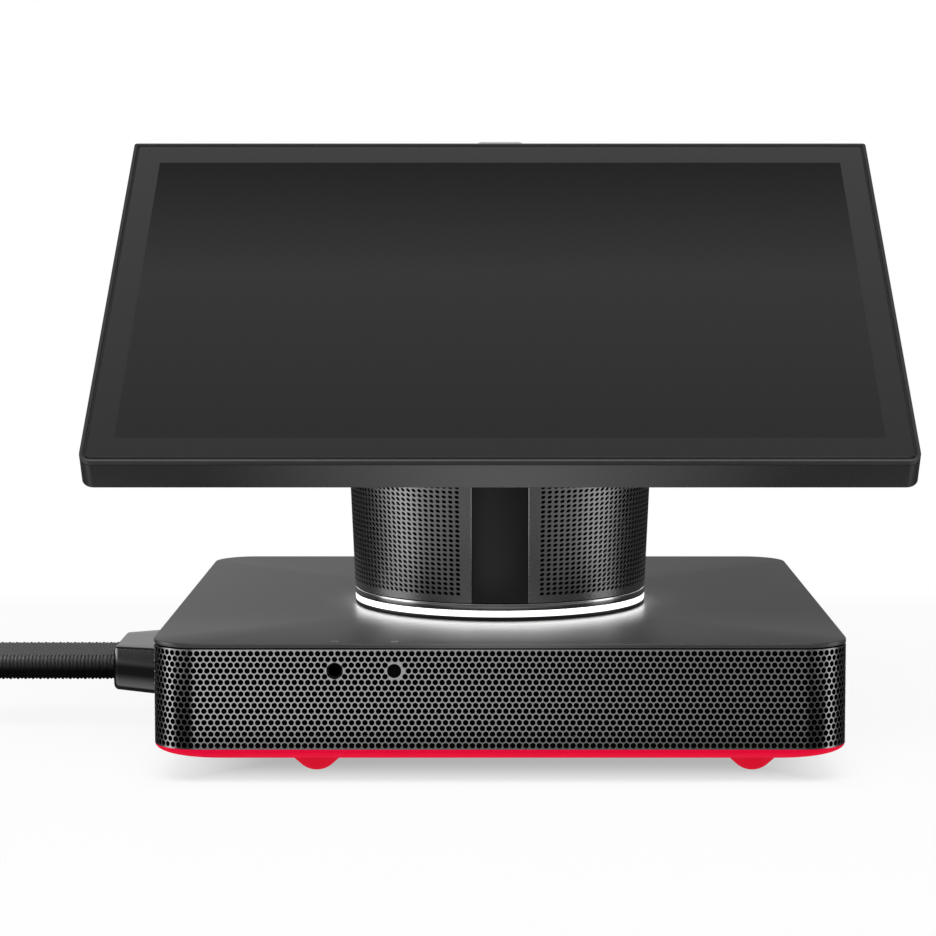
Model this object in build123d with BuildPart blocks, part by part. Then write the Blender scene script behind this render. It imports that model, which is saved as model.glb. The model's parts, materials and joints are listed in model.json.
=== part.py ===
from build123d import *
from math import cos, radians, sin, tan
import os

# Smart display: a leaning touch display on a speaker neck that swivels on a square base.
# Frame: origin on the swivel axis, in the plane of the tray's flat underside.
# +X to the viewer's right, +Y away from the viewer, +Z up. All lengths are millimetres.

os.makedirs("parts", exist_ok=True)

# ---------------------------------------------------------------- driving dimensions
# Base
BASE_WIDTH = 192.0
BASE_DEPTH = 190.0
BASE_CENTRE_Y = 10.0        # the base reaches further behind the swivel axis than in front
BASE_CORNER = 13.0
TRAY_TOP = 4.0
TRAY_FLOOR = 2.0
TRAY_SWEEP = 12.0           # how far the dished underside draws in
TRAY_RIM_INSET = 3.4
TRAY_SECTIONS = 12
TRAY_EDGE_INSET = 0.05      # keeps the tray's rim just inside the grille's face
GRILLE_TOP = 31.7
GRILLE_SHEET = 0.9
DECK_BOTTOM = 32.0
DECK_TOP = 33.3
DECK_HOLE_R = 40.0
DECK_CHAMFER = 0.25
FRAME_INSET = 3.6
FRAME_WALL = 2.0
FRAME_PLATE = 2.5
FRAME_LEDGE = 1.2
FRAME_POST_R = 3.6
AIR_SLOT_WIDTH = 5.0
AIR_SLOT_HEIGHT = 16.0
AIR_SLOT_PITCH = 12.0
AIR_SLOT_COUNT = 11
AIR_SLOT_Z = 16.0

# Main board and its cooler
BOARD_CENTRE = (-30, 10)
BOARD_WIDTH = 96.0
BOARD_DEPTH = 112.0
BOARD_BOTTOM = 8.0
BOARD_THICKNESS = 1.6
BOARD_BOSS_R = 3.5
CHIP_HEIGHT = 1.2
MEMORY_PLACES = [(-50, -30), (-34, -30), (-8, -36)]
MEMORY_WIDTH = 13.0
MEMORY_DEPTH = 10.0
PROCESSOR_CENTRE = (-18, 46)
PROCESSOR_SIDE = 26.0
SINK_CENTRE = (-18, 44)
SINK_WIDTH = 54.0
SINK_DEPTH = 42.0
SINK_PLATE = 2.2
FIN_HEIGHT = 6.4
FIN_THICKNESS = 1.0
FIN_PITCH = 3.7
FIN_COUNT = 12

# Blower
BLOWER_X = 54.0
BLOWER_Y = 38.0
BLOWER_BOTTOM = 5.0
BLOWER_HEIGHT = 12.0
BLOWER_R = 27.0
BLOWER_WALL = 2.0
BLOWER_SHEET = 1.2
BLOWER_INLET_R = 15.0
BLOWER_OUTLET_WIDTH = 30.0
BLOWER_OUTLET_DEPTH = 18.0
BLOWER_PAD_R = 3.0
BLOWER_PAD_PITCH = 34.0
AXLE_R = 3.0
AXLE_HEIGHT = 8.8
ROTOR_BOTTOM = 6.8
ROTOR_R = 22.0
ROTOR_DISC = 0.8
ROTOR_HUB_R = 9.5
ROTOR_HUB_HEIGHT = 8.4
BLADE_COUNT = 23
BLADE_PITCH_R = 16.0
BLADE_LENGTH = 11.6
BLADE_THICKNESS = 0.8
BLADE_HEIGHT = 7.0
BLADE_ANGLE = 35.0

# Feet
FOOT_HEIGHT = 5.8
FOOT_R = 8.7
FOOT_SLOPE = 42.0           # degrees, of the cone between the rim and the rounded tip
FOOT_TIP_R = 1.2            # flat at the very tip
FOOT_TIP_SLOPE = 10.0       # degrees, where the rounding leaves the flat
FOOT_ROUND_R = 6.5
FOOT_STEM_R = 3.0
FOOT_RECESS = 0.6           # how deep the foot's base sits in the tray
FEET = {
    "front_left": (-51.6, -62.9),
    "front_right": (71.0, -62.9),
    "rear_left": (-71.0, 82.9),
    "rear_right": (71.0, 82.9),
}

# Controls on the base's front
JACK_X = -45.2
BUTTON_X = -28.93
CONTROL_Z = 25.78
CONTROL_HEIGHT = 3.36       # from a control's axis down to the board that carries it
IO_BOARD = 1.2
JACK_BORE_R = 1.8
JACK_DEPTH = 14.0
JACK_NOSE_R = 3.2
JACK_OPENING_R = 2.285
BUTTON_OPENING_R = 1.95
BUTTON_R = 1.88
BUTTON_SETBACK = 0.6        # from the grille's outer face back to the cap
BUTTON_LENGTH = 5.3
BUTTON_TRAVEL = 0.5
BUTTON_CAP = 3.4
BUTTON_EDGE = 0.3
BUTTON_COLLAR_R = 2.7
BUTTON_COLLAR = 0.9
BUTTON_STEM_R = 1.3
SWITCH_WIDTH = 6.0
SWITCH_DEPTH = 3.6
SWITCH_GAP = 0.1
PLUNGER_R = 1.2
PLUNGER = 0.8
JACK_WIDTH = 6.8
JACK_LENGTH = 14.0
JACK_NOSE = 6.0
SHELF_WIDTH = 42.0
SHELF_DEPTH = 21.0
SHELF_THICKNESS = 2.0
CONTROL_WINDOW = 27.0
IO_BOARD_WIDTH = 38.0
IO_BOARD_DEPTH = 16.0

# Cable outlet on the base's left side
CABLE_Y = 10.0
CABLE_Z = 13.6
CABLE_WIDTH = 25.8
CABLE_THICKNESS = 6.7
CABLE_CORNER = 3.0
CABLE_OUTER_X = -160.0
CABLE_INNER_X = -80.0
BOOT_LENGTH = 21.1
BOOT_ROOT_WIDTH = 45.5
BOOT_ROOT_HEIGHT = 14.5
BOOT_ROOT_FORWARD = 2.75    # from the cable's centre towards the front
BOOT_ROOT_LOWER = 0.45      # from the cable's centre downwards
BOOT_END_WIDTH = 28.3
BOOT_END_HEIGHT = 13.4
BOOT_END_FORWARD = 0.15
BOOT_END_LOWER = 0.7
BOOT_CORNER = 4.5
BOOT_END_EDGE = 1.5
BOOT_NECK_WIDTH = 30.0
BOOT_NECK_HEIGHT = 11.0
BOOT_NECK_CORNER = 3.8
BOOT_FLANGE_WIDTH = 36.0
BOOT_FLANGE_HEIGHT = 14.0
BOOT_FLANGE_CORNER = 4.0
BOOT_FLANGE = 2.0
CLAMP_X = -84.0
CLAMP_SPREAD = 17.0         # from the cable's centre to each clamp screw
CLAMP_WIDTH = 8.0
CLAMP_LENGTH = 41.0
CLAMP_SHEET = 2.0
SADDLE_LENGTH = 24.0
CLAMP_POST_R = 3.2
PLUG_X = -66.0
PLUG_WIDTH = 22.0
PLUG_CORNER = 2.0
TONGUE_WIDTH = 16.0
TONGUE_HEIGHT = 3.0
TONGUE_LENGTH = 9.0
SOCKET_WIDTH = 21.0
SOCKET_HEIGHT = 8.0
SOCKET_LENGTH = 14.0

# Neck
NECK_BASE_R = 43.6          # at the deck's top face
NECK_FLARE = 0.045          # radius gained per millimetre of height
TRIM_TOP = 34.4
LIGHT_TOP = 36.15
BAND_TOP = 38.1
NECK_BOTTOM = 38.4
NECK_SHEET = 0.9
STRIP_HALF_WIDTH = 8.0
STRIP_RECESS = 0.7
CORE_INSET = 1.8
CORE_WALL = 2.0
CORE_FLOOR = 2.0
CORE_FLANGE = 22.0          # reach inwards of the oblique flange under the display
CORE_FLANGE_SHEET = 3.0
BRACKET_BOSS_R = 4.0
BRACKET_BOSS = 12.0
RETURN_WIDTH = 1.2          # stand-off returns along the grilles' upright edges
TRIM_WALL = 4.0
LIGHT_WALL = 2.6
BAND_WALL = 4.1
LED_STRIP_R = 40.2
LED_STRIP_SHEET = 0.6
LED_STRIP_HEIGHT = 1.5
LED_COUNT = 24
LED_WIDTH = 1.6
LED_DEPTH = 0.9
LED_HEIGHT = 1.1

# Swivel
PEDESTAL_R = 39.5
PEDESTAL_WALL = 3.0
PEDESTAL_TOP = 37.6
PEDESTAL_FLANGE_R = 50.0
HUB_R = 19.0
HUB_BORE_R = 15.0
HUB_BOTTOM = 22.0
HUB_TOP = 34.4
BUSH_OUTER_R = 14.98
BUSH_INNER_R = 13.0
BUSH_FLANGE_R = 22.0
BUSH_FLANGE = 0.8
SHAFT_R = 12.95
SHAFT_BORE_R = 9.5
SHAFT_BOTTOM = 18.8
SHAFT_FLANGE_R = 25.0
GROOVE_R = 12.0
GROOVE_BOTTOM = 19.8
GROOVE_WIDTH = 1.0
WEB = 2.5                   # plate of the pedestal under the base's frame
PEDESTAL_BOSS_R = 4.0
PEDESTAL_BOSS = 4.5
SPINDLE_HOLE = 2.9
WASHER_OUTER_R = 17.0
WASHER_INNER_R = 13.1
RETAINER_R = 16.5
RETAINER_SLOT = 14.0
STOP_R = 30.0               # pitch radius of the stop pin and the stop lug
STOP_PIN_R = 2.0
STOP_PIN_LENGTH = 9.0
STOP_LUG = 6.0
STOP_LUG_DROP = 5.0

# Speakers, one firing to each side
SPEAKER_Z = 66.0
BULKHEAD_INNER_X = 31.0
BULKHEAD = 2.0
SPEAKER_WINDOW_R = 17.5
# Outlines run outwards along the speaker's own axis: (distance from the swivel axis, radius).
BASKET = [(31, 17), (31, 21), (28.8, 21), (28.8, 18.5), (19, 13), (19, 7), (20.5, 7), (20.5, 12.2), (29, 17)]
CONE = [
    (30.4, 17), (29.6, 17), (28.4, 14.6), (21.6, 5.6), (21.6, 0),
    (24.6, 0), (24.0, 3.0), (22.9, 5.4), (29.2, 14.0), (30.4, 15.4),
]
MAGNET = [(8, 0), (8, 14), (9, 15), (19, 15), (19, 0)]

# Display
DISPLAY_WIDTH = 235.3
DISPLAY_HEIGHT = 156.5
DISPLAY_THICKNESS = 10.2
DISPLAY_TILT = 35.6         # degrees up from horizontal
DISPLAY_FOOT_Y = -66.3      # bottom edge of the front face
DISPLAY_FOOT_Z = 81.7
CORNER_BOTTOM = 3.6
CORNER_TOP = 1.0
RIM_DEPTH = 1.6
RIM_WIDTH = 1.05
RIM_LEDGE = 4.2
GLASS_GAP = 0.5
GLASS_THICKNESS = 0.9
GLASS_CHAMFER = 0.45
HOUSING_WALL = 1.6
HOUSING_FLOOR = 2.0
HOUSING_EDGE = 0.6
TONGUE_WALL = 1.0           # of the frame's tongue inside the housing
ACTIVE_WIDTH = 216.96       # 10.1-inch 16:10 panel
ACTIVE_HEIGHT = 135.6
ACTIVE_BOTTOM = 9.9
LCD_BORDER = 2.5
LCD_THICKNESS = 2.6
DISPLAY_BOARD_DEPTH = 6.4   # from the front face back to the board's rear side
DISPLAY_BOARD_WIDTH = 100.0
DISPLAY_BOARD_HEIGHT = 36.0
DISPLAY_BOARD_RISE = 78.0   # of the board's middle, up the display's face
DISPLAY_BOARD_SHEET = 1.2
DISPLAY_BOARD_BOSS_R = 3.0
DISPLAY_CHIP_PLACES = [(-22, 78), (22, 80)]
DISPLAY_CHIP_SIDE = 12.0
DISPLAY_CHIP_HEIGHT = 1.0
BRACKET_SHEET = 1.3
BRACKET_SIDE = 76.0
BRACKET_CORNER = 5.0
WIRING_HOLE_R = 5.0
LIGHT_BAR_WIDTH = 14.4
LIGHT_BAR_DEPTH = 5.9
LIGHT_BAR_BACK = 6.0        # from the front face back to the bar's rear side
LIGHT_BAR_STAND = 1.15      # how far the status bar stands above the top edge
LIGHT_STEM_WIDTH = 10.0
LIGHT_STEM_DEPTH = 2.5
LIGHT_STEM_BACK = 5.45
LIGHT_STEM_LENGTH = 3.0

# Fasteners and fits
SCREW_R = 1.25
SCREW_HOLE_R = 1.3
SCREW_HEAD_R = 2.4
SCREW_HEAD = 1.3
SCREW_DRIVE_R = 1.1
SCREW_DRIVE_DEPTH = 0.7
HEAD_SEAT_DEPTH = 1.4       # counterbore under the tray
TRAY_SCREW_LENGTH = 9.0
BOARD_SCREW_LENGTH = 6.0
IO_SCREW_LENGTH = 3.0
PEDESTAL_SCREW_LENGTH = 7.0
SPINDLE_SCREW_LENGTH = 4.7
CLAMP_SCREW_LENGTH = 8.0
BRACKET_SCREW_LENGTH = 13.5
DISPLAY_SCREW_LENGTH = 2.6
SLIDE_FIT = 0.1             # play between two pieces that are put together by hand
PRESS_FIT = 0.05
PIN_FIT = 0.02
LOOSE_FIT = 0.3
HARNESS_R = 3.6
HARNESS_SOCKET_SIDE = 14.0
HARNESS_SOCKET_HEIGHT = 5.0
HARNESS_SOCKET_FLOOR = 2.0

# ---------------------------------------------------------------- derived planes and places
BASE_FRONT_Y = BASE_CENTRE_Y - BASE_DEPTH / 2
BASE_REAR_Y = BASE_CENTRE_Y + BASE_DEPTH / 2
FRAME_INNER = FRAME_INSET + FRAME_WALL
FRAME_PLATE_BOTTOM = DECK_BOTTOM - FRAME_PLATE
BOARD_TOP = BOARD_BOTTOM + BOARD_THICKNESS
CONTROL_FLOOR = CONTROL_Z - CONTROL_HEIGHT
SHELF_TOP = CONTROL_FLOOR - IO_BOARD
CONTROL_MID_X = (JACK_X + BUTTON_X) / 2
CABLE_TOP = CABLE_Z + CABLE_THICKNESS / 2
CABLE_UNDERSIDE = CABLE_Z - CABLE_THICKNESS / 2
BEHIND_GRILLE = GRILLE_SHEET + SLIDE_FIT
THROUGH_FRAME = FRAME_INNER + 0.5
NECK_OVERRUN = 90.0         # the neck's walls are drawn past the display, then cut by its back
PAST_DISPLAY = 140.0
DECK_SCREW_SEAT = DECK_BOTTOM - SCREW_HEAD - PRESS_FIT
BUSH_TOP = HUB_TOP + BUSH_FLANGE
WEB_BOTTOM = FRAME_PLATE_BOTTOM - WEB
BLOWER_CAVITY_BOTTOM = BLOWER_BOTTOM + BLOWER_SHEET

tilt = radians(DISPLAY_TILT)
display_normal = (0, -sin(tilt), cos(tilt))
display_plane = Plane(origin=(0, DISPLAY_FOOT_Y, DISPLAY_FOOT_Z), x_dir=(1, 0, 0), z_dir=display_normal)
back_plane = display_plane.offset(-DISPLAY_THICKNESS)
floor_plane = back_plane.offset(HOUSING_FLOOR)
board_plane = display_plane.offset(-DISPLAY_BOARD_DEPTH)
front_plane = Plane(origin=(0, BASE_FRONT_Y, CONTROL_Z), x_dir=(1, 0, 0), z_dir=(0, -1, 0))
rear_plane = Plane(origin=(0, BASE_REAR_Y, AIR_SLOT_Z), x_dir=(-1, 0, 0), z_dir=(0, 1, 0))
left_plane = Plane(origin=(-BASE_WIDTH / 2, CABLE_Y, CABLE_Z), x_dir=(0, -1, 0), z_dir=(-1, 0, 0))

# Where the swivel axis crosses the display's back, measured up its face.
axis_rise = -DISPLAY_FOOT_Y / cos(tilt) - DISPLAY_THICKNESS * tan(tilt)

tray_screw_places = [(-84, -50), (84, -50), (-84, 62), (84, 62)]
board_screw_places = [(-74, -42), (14, -42), (-74, 62), (14, 62)]
io_screw_places = [(JACK_X - 8.5, -68), (BUTTON_X + 8.5, -68)]
clamp_screw_places = [(CLAMP_X, CABLE_Y - CLAMP_SPREAD), (CLAMP_X, CABLE_Y + CLAMP_SPREAD)]
pedestal_screw_places = [(32, 32), (-32, 32), (-32, -32), (32, -32)]
spindle_screw_places = [(14, 14), (-14, 14), (-14, -14), (14, -14)]
bracket_screw_places = [(x, axis_rise + y) for x in (-24, 24) for y in (-30, 30)]
display_board_screw_places = [(x, y) for x in (-46, 46) for y in (63, 93)]


# ---------------------------------------------------------------- shared outlines
def base_outline(inset, corner=None):
    """Plan outline of the base, drawn in by `inset` all round."""
    radius = BASE_CORNER - inset if corner is None else corner
    with BuildSketch(Plane.XY, mode=Mode.PRIVATE) as outline:
        with Locations((0, BASE_CENTRE_Y)):
            RectangleRounded(BASE_WIDTH - 2 * inset, BASE_DEPTH - 2 * inset, radius)
    return outline.sketch


def display_outline(inset):
    """Front outline of the display, drawn in by `inset` all round: rounder below than above."""
    width = DISPLAY_WIDTH - 2 * inset
    height = DISPLAY_HEIGHT - 2 * inset
    top_r = max(CORNER_TOP - inset, 0.6)
    bottom_r = max(CORNER_BOTTOM - inset, 0.8)
    from_below = (Align.CENTER, Align.MIN)
    with BuildSketch(Plane.XY, mode=Mode.PRIVATE) as outline:
        with Locations((0, inset)):
            RectangleRounded(width, height, top_r, align=from_below)
            RectangleRounded(width, height + 20, bottom_r, align=from_below, mode=Mode.INTERSECT)
    return outline.sketch


def neck_radius(z):
    """Outer radius of the flared neck at height z."""
    return NECK_BASE_R + NECK_FLARE * (z - DECK_TOP)


def neck_section(inset, thickness, bottom, top):
    """Upright section of a wall that follows the neck's flare, `inset` inside its outer face."""
    low_r = neck_radius(bottom) - inset
    high_r = neck_radius(top) - inset
    with BuildSketch(Plane.XZ, mode=Mode.PRIVATE) as section:
        with BuildLine():
            Polyline(
                (low_r - thickness, bottom),
                (low_r, bottom),
                (high_r, top),
                (high_r - thickness, top),
                close=True,
            )
        make_face()
    return section.sketch


def neck_wall(inset, thickness):
    """Flared ring wall from the neck's foot to the display's back."""
    with BuildPart(mode=Mode.PRIVATE) as wall:
        revolve(neck_section(inset, thickness, NECK_BOTTOM, DISPLAY_FOOT_Z + NECK_OVERRUN), axis=Axis.Z)
        split(bisect_by=back_plane, keep=Keep.BOTTOM)
    return wall.part


def turned(points, axis=Axis.Z, plane=Plane.XZ):
    """Solid turned about an axis from the closed outline through the given points."""
    with BuildPart(mode=Mode.PRIVATE) as solid:
        with BuildSketch(plane):
            with BuildLine():
                Polyline(*points, close=True)
            make_face()
        revolve(axis=axis)
    return solid.part


def screws(places, plane, length):
    """Identical pan-head screws whose heads stand on a plane, at places on that plane."""
    with BuildPart(mode=Mode.PRIVATE) as group:
        with BuildSketch(plane):
            with Locations(*places):
                Circle(SCREW_HEAD_R)
        extrude(amount=SCREW_HEAD)
        with BuildSketch(plane):
            with Locations(*places):
                Circle(SCREW_R)
        extrude(amount=-length)
        with BuildSketch(plane.offset(SCREW_HEAD)):
            with Locations(*places):
                RegularPolygon(SCREW_DRIVE_R, 6)
        extrude(amount=-SCREW_DRIVE_DEPTH, mode=Mode.SUBTRACT)
    return group.part


# ---------------------------------------------------------------- base: tray and feet
with BuildPart() as base_tray:
    # Dished underside: each section's inset follows a quarter ellipse.
    for step in range(TRAY_SECTIONS + 1):
        angle = radians(90 * step / TRAY_SECTIONS)
        with BuildSketch(Plane.XY.offset(TRAY_TOP * (1 - cos(angle)))):
            add(base_outline(TRAY_SWEEP * (1 - sin(angle)) + TRAY_EDGE_INSET, corner=BASE_CORNER))
    loft(ruled=True)
    with BuildSketch(Plane.XY.offset(TRAY_FLOOR)):
        add(base_outline(TRAY_RIM_INSET))
    extrude(amount=TRAY_TOP, mode=Mode.SUBTRACT)
    # Bosses for the main board, pads for the blower, saddle and posts for the cable clamp.
    with BuildSketch(Plane.XY.offset(TRAY_FLOOR)):
        with Locations(*board_screw_places):
            Circle(BOARD_BOSS_R)
    extrude(amount=BOARD_BOTTOM - TRAY_FLOOR)
    with BuildSketch(Plane.XY.offset(TRAY_FLOOR)):
        with Locations((BLOWER_X, BLOWER_Y)):
            with GridLocations(BLOWER_PAD_PITCH, BLOWER_PAD_PITCH, 2, 2):
                Circle(BLOWER_PAD_R)
    extrude(amount=BLOWER_BOTTOM - TRAY_FLOOR)
    with BuildSketch(Plane.XY.offset(TRAY_FLOOR)):
        with Locations((CLAMP_X, CABLE_Y)):
            Rectangle(CLAMP_WIDTH, SADDLE_LENGTH)
    extrude(amount=CABLE_UNDERSIDE - TRAY_FLOOR)
    with BuildSketch(Plane.XY.offset(TRAY_FLOOR)):
        with Locations(*clamp_screw_places):
            Circle(CLAMP_POST_R)
    extrude(amount=CABLE_TOP - TRAY_FLOOR)
    with BuildSketch(Plane.XY.offset(CABLE_TOP)):
        with Locations(*clamp_screw_places):
            Circle(SCREW_HOLE_R)
    extrude(amount=-(CLAMP_SCREW_LENGTH + 1), mode=Mode.SUBTRACT)
    with BuildSketch(Plane.XY.offset(BOARD_BOTTOM)):
        with Locations(*board_screw_places):
            Circle(SCREW_HOLE_R)
    extrude(amount=-(BOARD_SCREW_LENGTH - 1), mode=Mode.SUBTRACT)
    # Counterbored holes that take the tray screws from below.
    with BuildSketch(Plane.XY):
        with Locations(*tray_screw_places):
            Circle(SCREW_HOLE_R)
    extrude(amount=TRAY_FLOOR, mode=Mode.SUBTRACT)
    with BuildSketch(Plane.XY):
        with Locations(*tray_screw_places):
            Circle(SCREW_HEAD_R + LOOSE_FIT)
    extrude(amount=HEAD_SEAT_DEPTH, mode=Mode.SUBTRACT)
    # Recesses and stem holes for the feet.
    with BuildSketch(Plane.XY):
        with Locations(*FEET.values()):
            Circle(FOOT_R + SLIDE_FIT)
    extrude(amount=FOOT_RECESS, mode=Mode.SUBTRACT)
    with BuildSketch(Plane.XY):
        with Locations(*FEET.values()):
            Circle(FOOT_STEM_R + PRESS_FIT)
    extrude(amount=TRAY_FLOOR, mode=Mode.SUBTRACT)
base_tray.part.label = "base_tray"
export_step(base_tray.part, "parts/base_tray.step")

tray_screw_seat = Plane(origin=(0, 0, HEAD_SEAT_DEPTH), x_dir=(1, 0, 0), z_dir=(0, 0, -1))
with BuildPart() as tray_screws:
    add(screws([(x, -y) for x, y in tray_screw_places], tray_screw_seat, TRAY_SCREW_LENGTH))
tray_screws.part.label = "tray_screws"
export_step(tray_screws.part, "parts/tray_screws.step")

tip_angle = radians(FOOT_TIP_SLOPE)
cone_angle = radians(FOOT_SLOPE)
middle_angle = (tip_angle + cone_angle) / 2


def on_rounding(angle):
    """Point on the foot's rounded tip where its surface slopes at the angle."""
    across = FOOT_TIP_R + FOOT_ROUND_R * (sin(angle) - sin(tip_angle))
    return (across, -FOOT_HEIGHT + FOOT_ROUND_R * (cos(tip_angle) - cos(angle)))


round_end = on_rounding(cone_angle)
cone_top = (FOOT_R, round_end[1] + (FOOT_R - round_end[0]) * tan(cone_angle))
for corner, (foot_x, foot_y) in FEET.items():
    with BuildPart() as foot:
        with BuildSketch(Plane(origin=(foot_x, foot_y, 0), x_dir=(1, 0, 0), z_dir=(0, -1, 0))):
            with BuildLine():
                Polyline(
                    (FOOT_TIP_R, -FOOT_HEIGHT),
                    (0, -FOOT_HEIGHT),
                    (0, TRAY_FLOOR),
                    (FOOT_STEM_R, TRAY_FLOOR),
                    (FOOT_STEM_R, FOOT_RECESS),
                    (FOOT_R, FOOT_RECESS),
                    cone_top,
                    round_end,
                )
                ThreePointArc(round_end, on_rounding(middle_angle), (FOOT_TIP_R, -FOOT_HEIGHT))
            make_face()
        revolve(axis=Axis((foot_x, foot_y, 0), (0, 0, 1)))
    foot.part.label = f"foot_{corner}"
    export_step(foot.part, f"parts/foot_{corner}.step")

# ---------------------------------------------------------------- base: grille, deck and frame
outlet_width = BOOT_NECK_WIDTH + 4 * SLIDE_FIT
outlet_height = BOOT_NECK_HEIGHT + 4 * SLIDE_FIT
with BuildPart() as base_grille:
    with BuildSketch(Plane.XY.offset(TRAY_TOP)):
        add(base_outline(0))
        add(base_outline(GRILLE_SHEET), mode=Mode.SUBTRACT)
    extrude(amount=GRILLE_TOP - TRAY_TOP)
    # Openings for the jack, the power button and the cable boot.
    with BuildSketch(front_plane):
        with Locations((JACK_X, 0)):
            Circle(JACK_OPENING_R)
        with Locations((BUTTON_X, 0)):
            Circle(BUTTON_OPENING_R)
    extrude(amount=-2 * GRILLE_SHEET, mode=Mode.SUBTRACT)
    with BuildSketch(left_plane):
        RectangleRounded(outlet_width, outlet_height, BOOT_FLANGE_CORNER)
    extrude(amount=-2 * GRILLE_SHEET, mode=Mode.SUBTRACT)
base_grille.part.label = "base_grille"
export_step(base_grille.part, "parts/base_grille.step")

with BuildPart() as deck_plate:
    with BuildSketch(Plane.XY.offset(DECK_BOTTOM)):
        add(base_outline(0))
        Circle(DECK_HOLE_R, mode=Mode.SUBTRACT)
    extrude(amount=DECK_TOP - DECK_BOTTOM)
    deck_face = deck_plate.faces().sort_by(Axis.Z)[-1]
    chamfer(deck_face.outer_wire().edges(), DECK_CHAMFER)
deck_plate.part.label = "deck_plate"
export_step(deck_plate.part, "parts/deck_plate.step")

with BuildPart() as base_frame:
    with BuildSketch(Plane.XY.offset(TRAY_FLOOR)):
        add(base_outline(FRAME_INSET))
        add(base_outline(FRAME_INNER), mode=Mode.SUBTRACT)
    extrude(amount=DECK_BOTTOM - TRAY_FLOOR)
    # Ledge that stands on the tray's rim, inside the grille.
    with BuildSketch(Plane.XY.offset(TRAY_TOP)):
        add(base_outline(BEHIND_GRILLE))
        add(base_outline(FRAME_INNER), mode=Mode.SUBTRACT)
    extrude(amount=FRAME_LEDGE)
    # Top plate that carries the deck and the neck's pedestal.
    with BuildSketch(Plane.XY.offset(FRAME_PLATE_BOTTOM)):
        add(base_outline(BEHIND_GRILLE))
        Circle(DECK_HOLE_R + LOOSE_FIT, mode=Mode.SUBTRACT)
    extrude(amount=FRAME_PLATE)
    # Shelf for the board behind the controls.
    with BuildSketch(Plane.XY.offset(SHELF_TOP - SHELF_THICKNESS)):
        with Locations((CONTROL_MID_X, BASE_FRONT_Y + FRAME_INNER - FRAME_WALL / 2)):
            Rectangle(SHELF_WIDTH, SHELF_DEPTH, align=(Align.CENTER, Align.MIN))
    extrude(amount=SHELF_THICKNESS)
    with BuildSketch(Plane.XY.offset(SHELF_TOP)):
        with Locations(*io_screw_places):
            Circle(SCREW_HOLE_R)
    extrude(amount=-SHELF_THICKNESS, mode=Mode.SUBTRACT)
    # Posts that take the tray screws.
    with BuildSketch(Plane.XY.offset(TRAY_FLOOR)):
        with Locations(*tray_screw_places):
            Circle(FRAME_POST_R)
    extrude(amount=FRAME_PLATE_BOTTOM - TRAY_FLOOR)
    with BuildSketch(Plane.XY.offset(TRAY_FLOOR)):
        with Locations(*tray_screw_places):
            Circle(SCREW_HOLE_R)
    extrude(amount=TRAY_SCREW_LENGTH + 1, mode=Mode.SUBTRACT)
    # Counterbored seats for the pedestal screws.
    with BuildSketch(Plane.XY.offset(DECK_BOTTOM)):
        with Locations(*pedestal_screw_places):
            Circle(SCREW_HEAD_R + SLIDE_FIT)
    extrude(amount=DECK_SCREW_SEAT - DECK_BOTTOM, mode=Mode.SUBTRACT)
    with BuildSketch(Plane.XY.offset(DECK_BOTTOM)):
        with Locations(*pedestal_screw_places):
            Circle(SCREW_HOLE_R)
    extrude(amount=-FRAME_PLATE, mode=Mode.SUBTRACT)
    # Window behind the controls, the cable's way in, and air slots at the rear.
    with BuildSketch(front_plane):
        with Locations((CONTROL_MID_X, (FRAME_PLATE_BOTTOM + SHELF_TOP) / 2 - CONTROL_Z)):
            Rectangle(CONTROL_WINDOW, FRAME_PLATE_BOTTOM - SHELF_TOP)
    extrude(amount=-THROUGH_FRAME, mode=Mode.SUBTRACT)
    with BuildSketch(left_plane):
        RectangleRounded(outlet_width, outlet_height, BOOT_FLANGE_CORNER)
    extrude(amount=-THROUGH_FRAME, mode=Mode.SUBTRACT)
    with BuildSketch(rear_plane):
        with GridLocations(AIR_SLOT_PITCH, 1, AIR_SLOT_COUNT, 1):
            SlotOverall(AIR_SLOT_HEIGHT, AIR_SLOT_WIDTH, rotation=90)
    extrude(amount=-THROUGH_FRAME, mode=Mode.SUBTRACT)
base_frame.part.label = "base_frame"
export_step(base_frame.part, "parts/base_frame.step")

# ---------------------------------------------------------------- base: electronics
with BuildPart() as main_board:
    with BuildSketch(Plane.XY.offset(BOARD_BOTTOM)):
        with Locations(BOARD_CENTRE):
            Rectangle(BOARD_WIDTH, BOARD_DEPTH)
        with Locations(*board_screw_places):
            Circle(SCREW_HOLE_R, mode=Mode.SUBTRACT)
    extrude(amount=BOARD_THICKNESS)
    # Memory, storage and processor packages.
    with BuildSketch(Plane.XY.offset(BOARD_TOP)):
        with Locations(*MEMORY_PLACES):
            Rectangle(MEMORY_WIDTH, MEMORY_DEPTH)
        with Locations(PROCESSOR_CENTRE):
            Rectangle(PROCESSOR_SIDE, PROCESSOR_SIDE)
    extrude(amount=CHIP_HEIGHT)
main_board.part.label = "main_board"
export_step(main_board.part, "parts/main_board.step")

with BuildPart() as heat_sink:
    with BuildSketch(Plane.XY.offset(BOARD_TOP + CHIP_HEIGHT)):
        with Locations(SINK_CENTRE):
            Rectangle(SINK_WIDTH, SINK_DEPTH)
    extrude(amount=SINK_PLATE)
    with BuildSketch(Plane.XY.offset(BOARD_TOP + CHIP_HEIGHT + SINK_PLATE)):
        with Locations(SINK_CENTRE):
            with GridLocations(1, FIN_PITCH, 1, FIN_COUNT):
                Rectangle(SINK_WIDTH, FIN_THICKNESS)
    extrude(amount=FIN_HEIGHT)
heat_sink.part.label = "heat_sink"
export_step(heat_sink.part, "parts/heat_sink.step")

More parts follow.
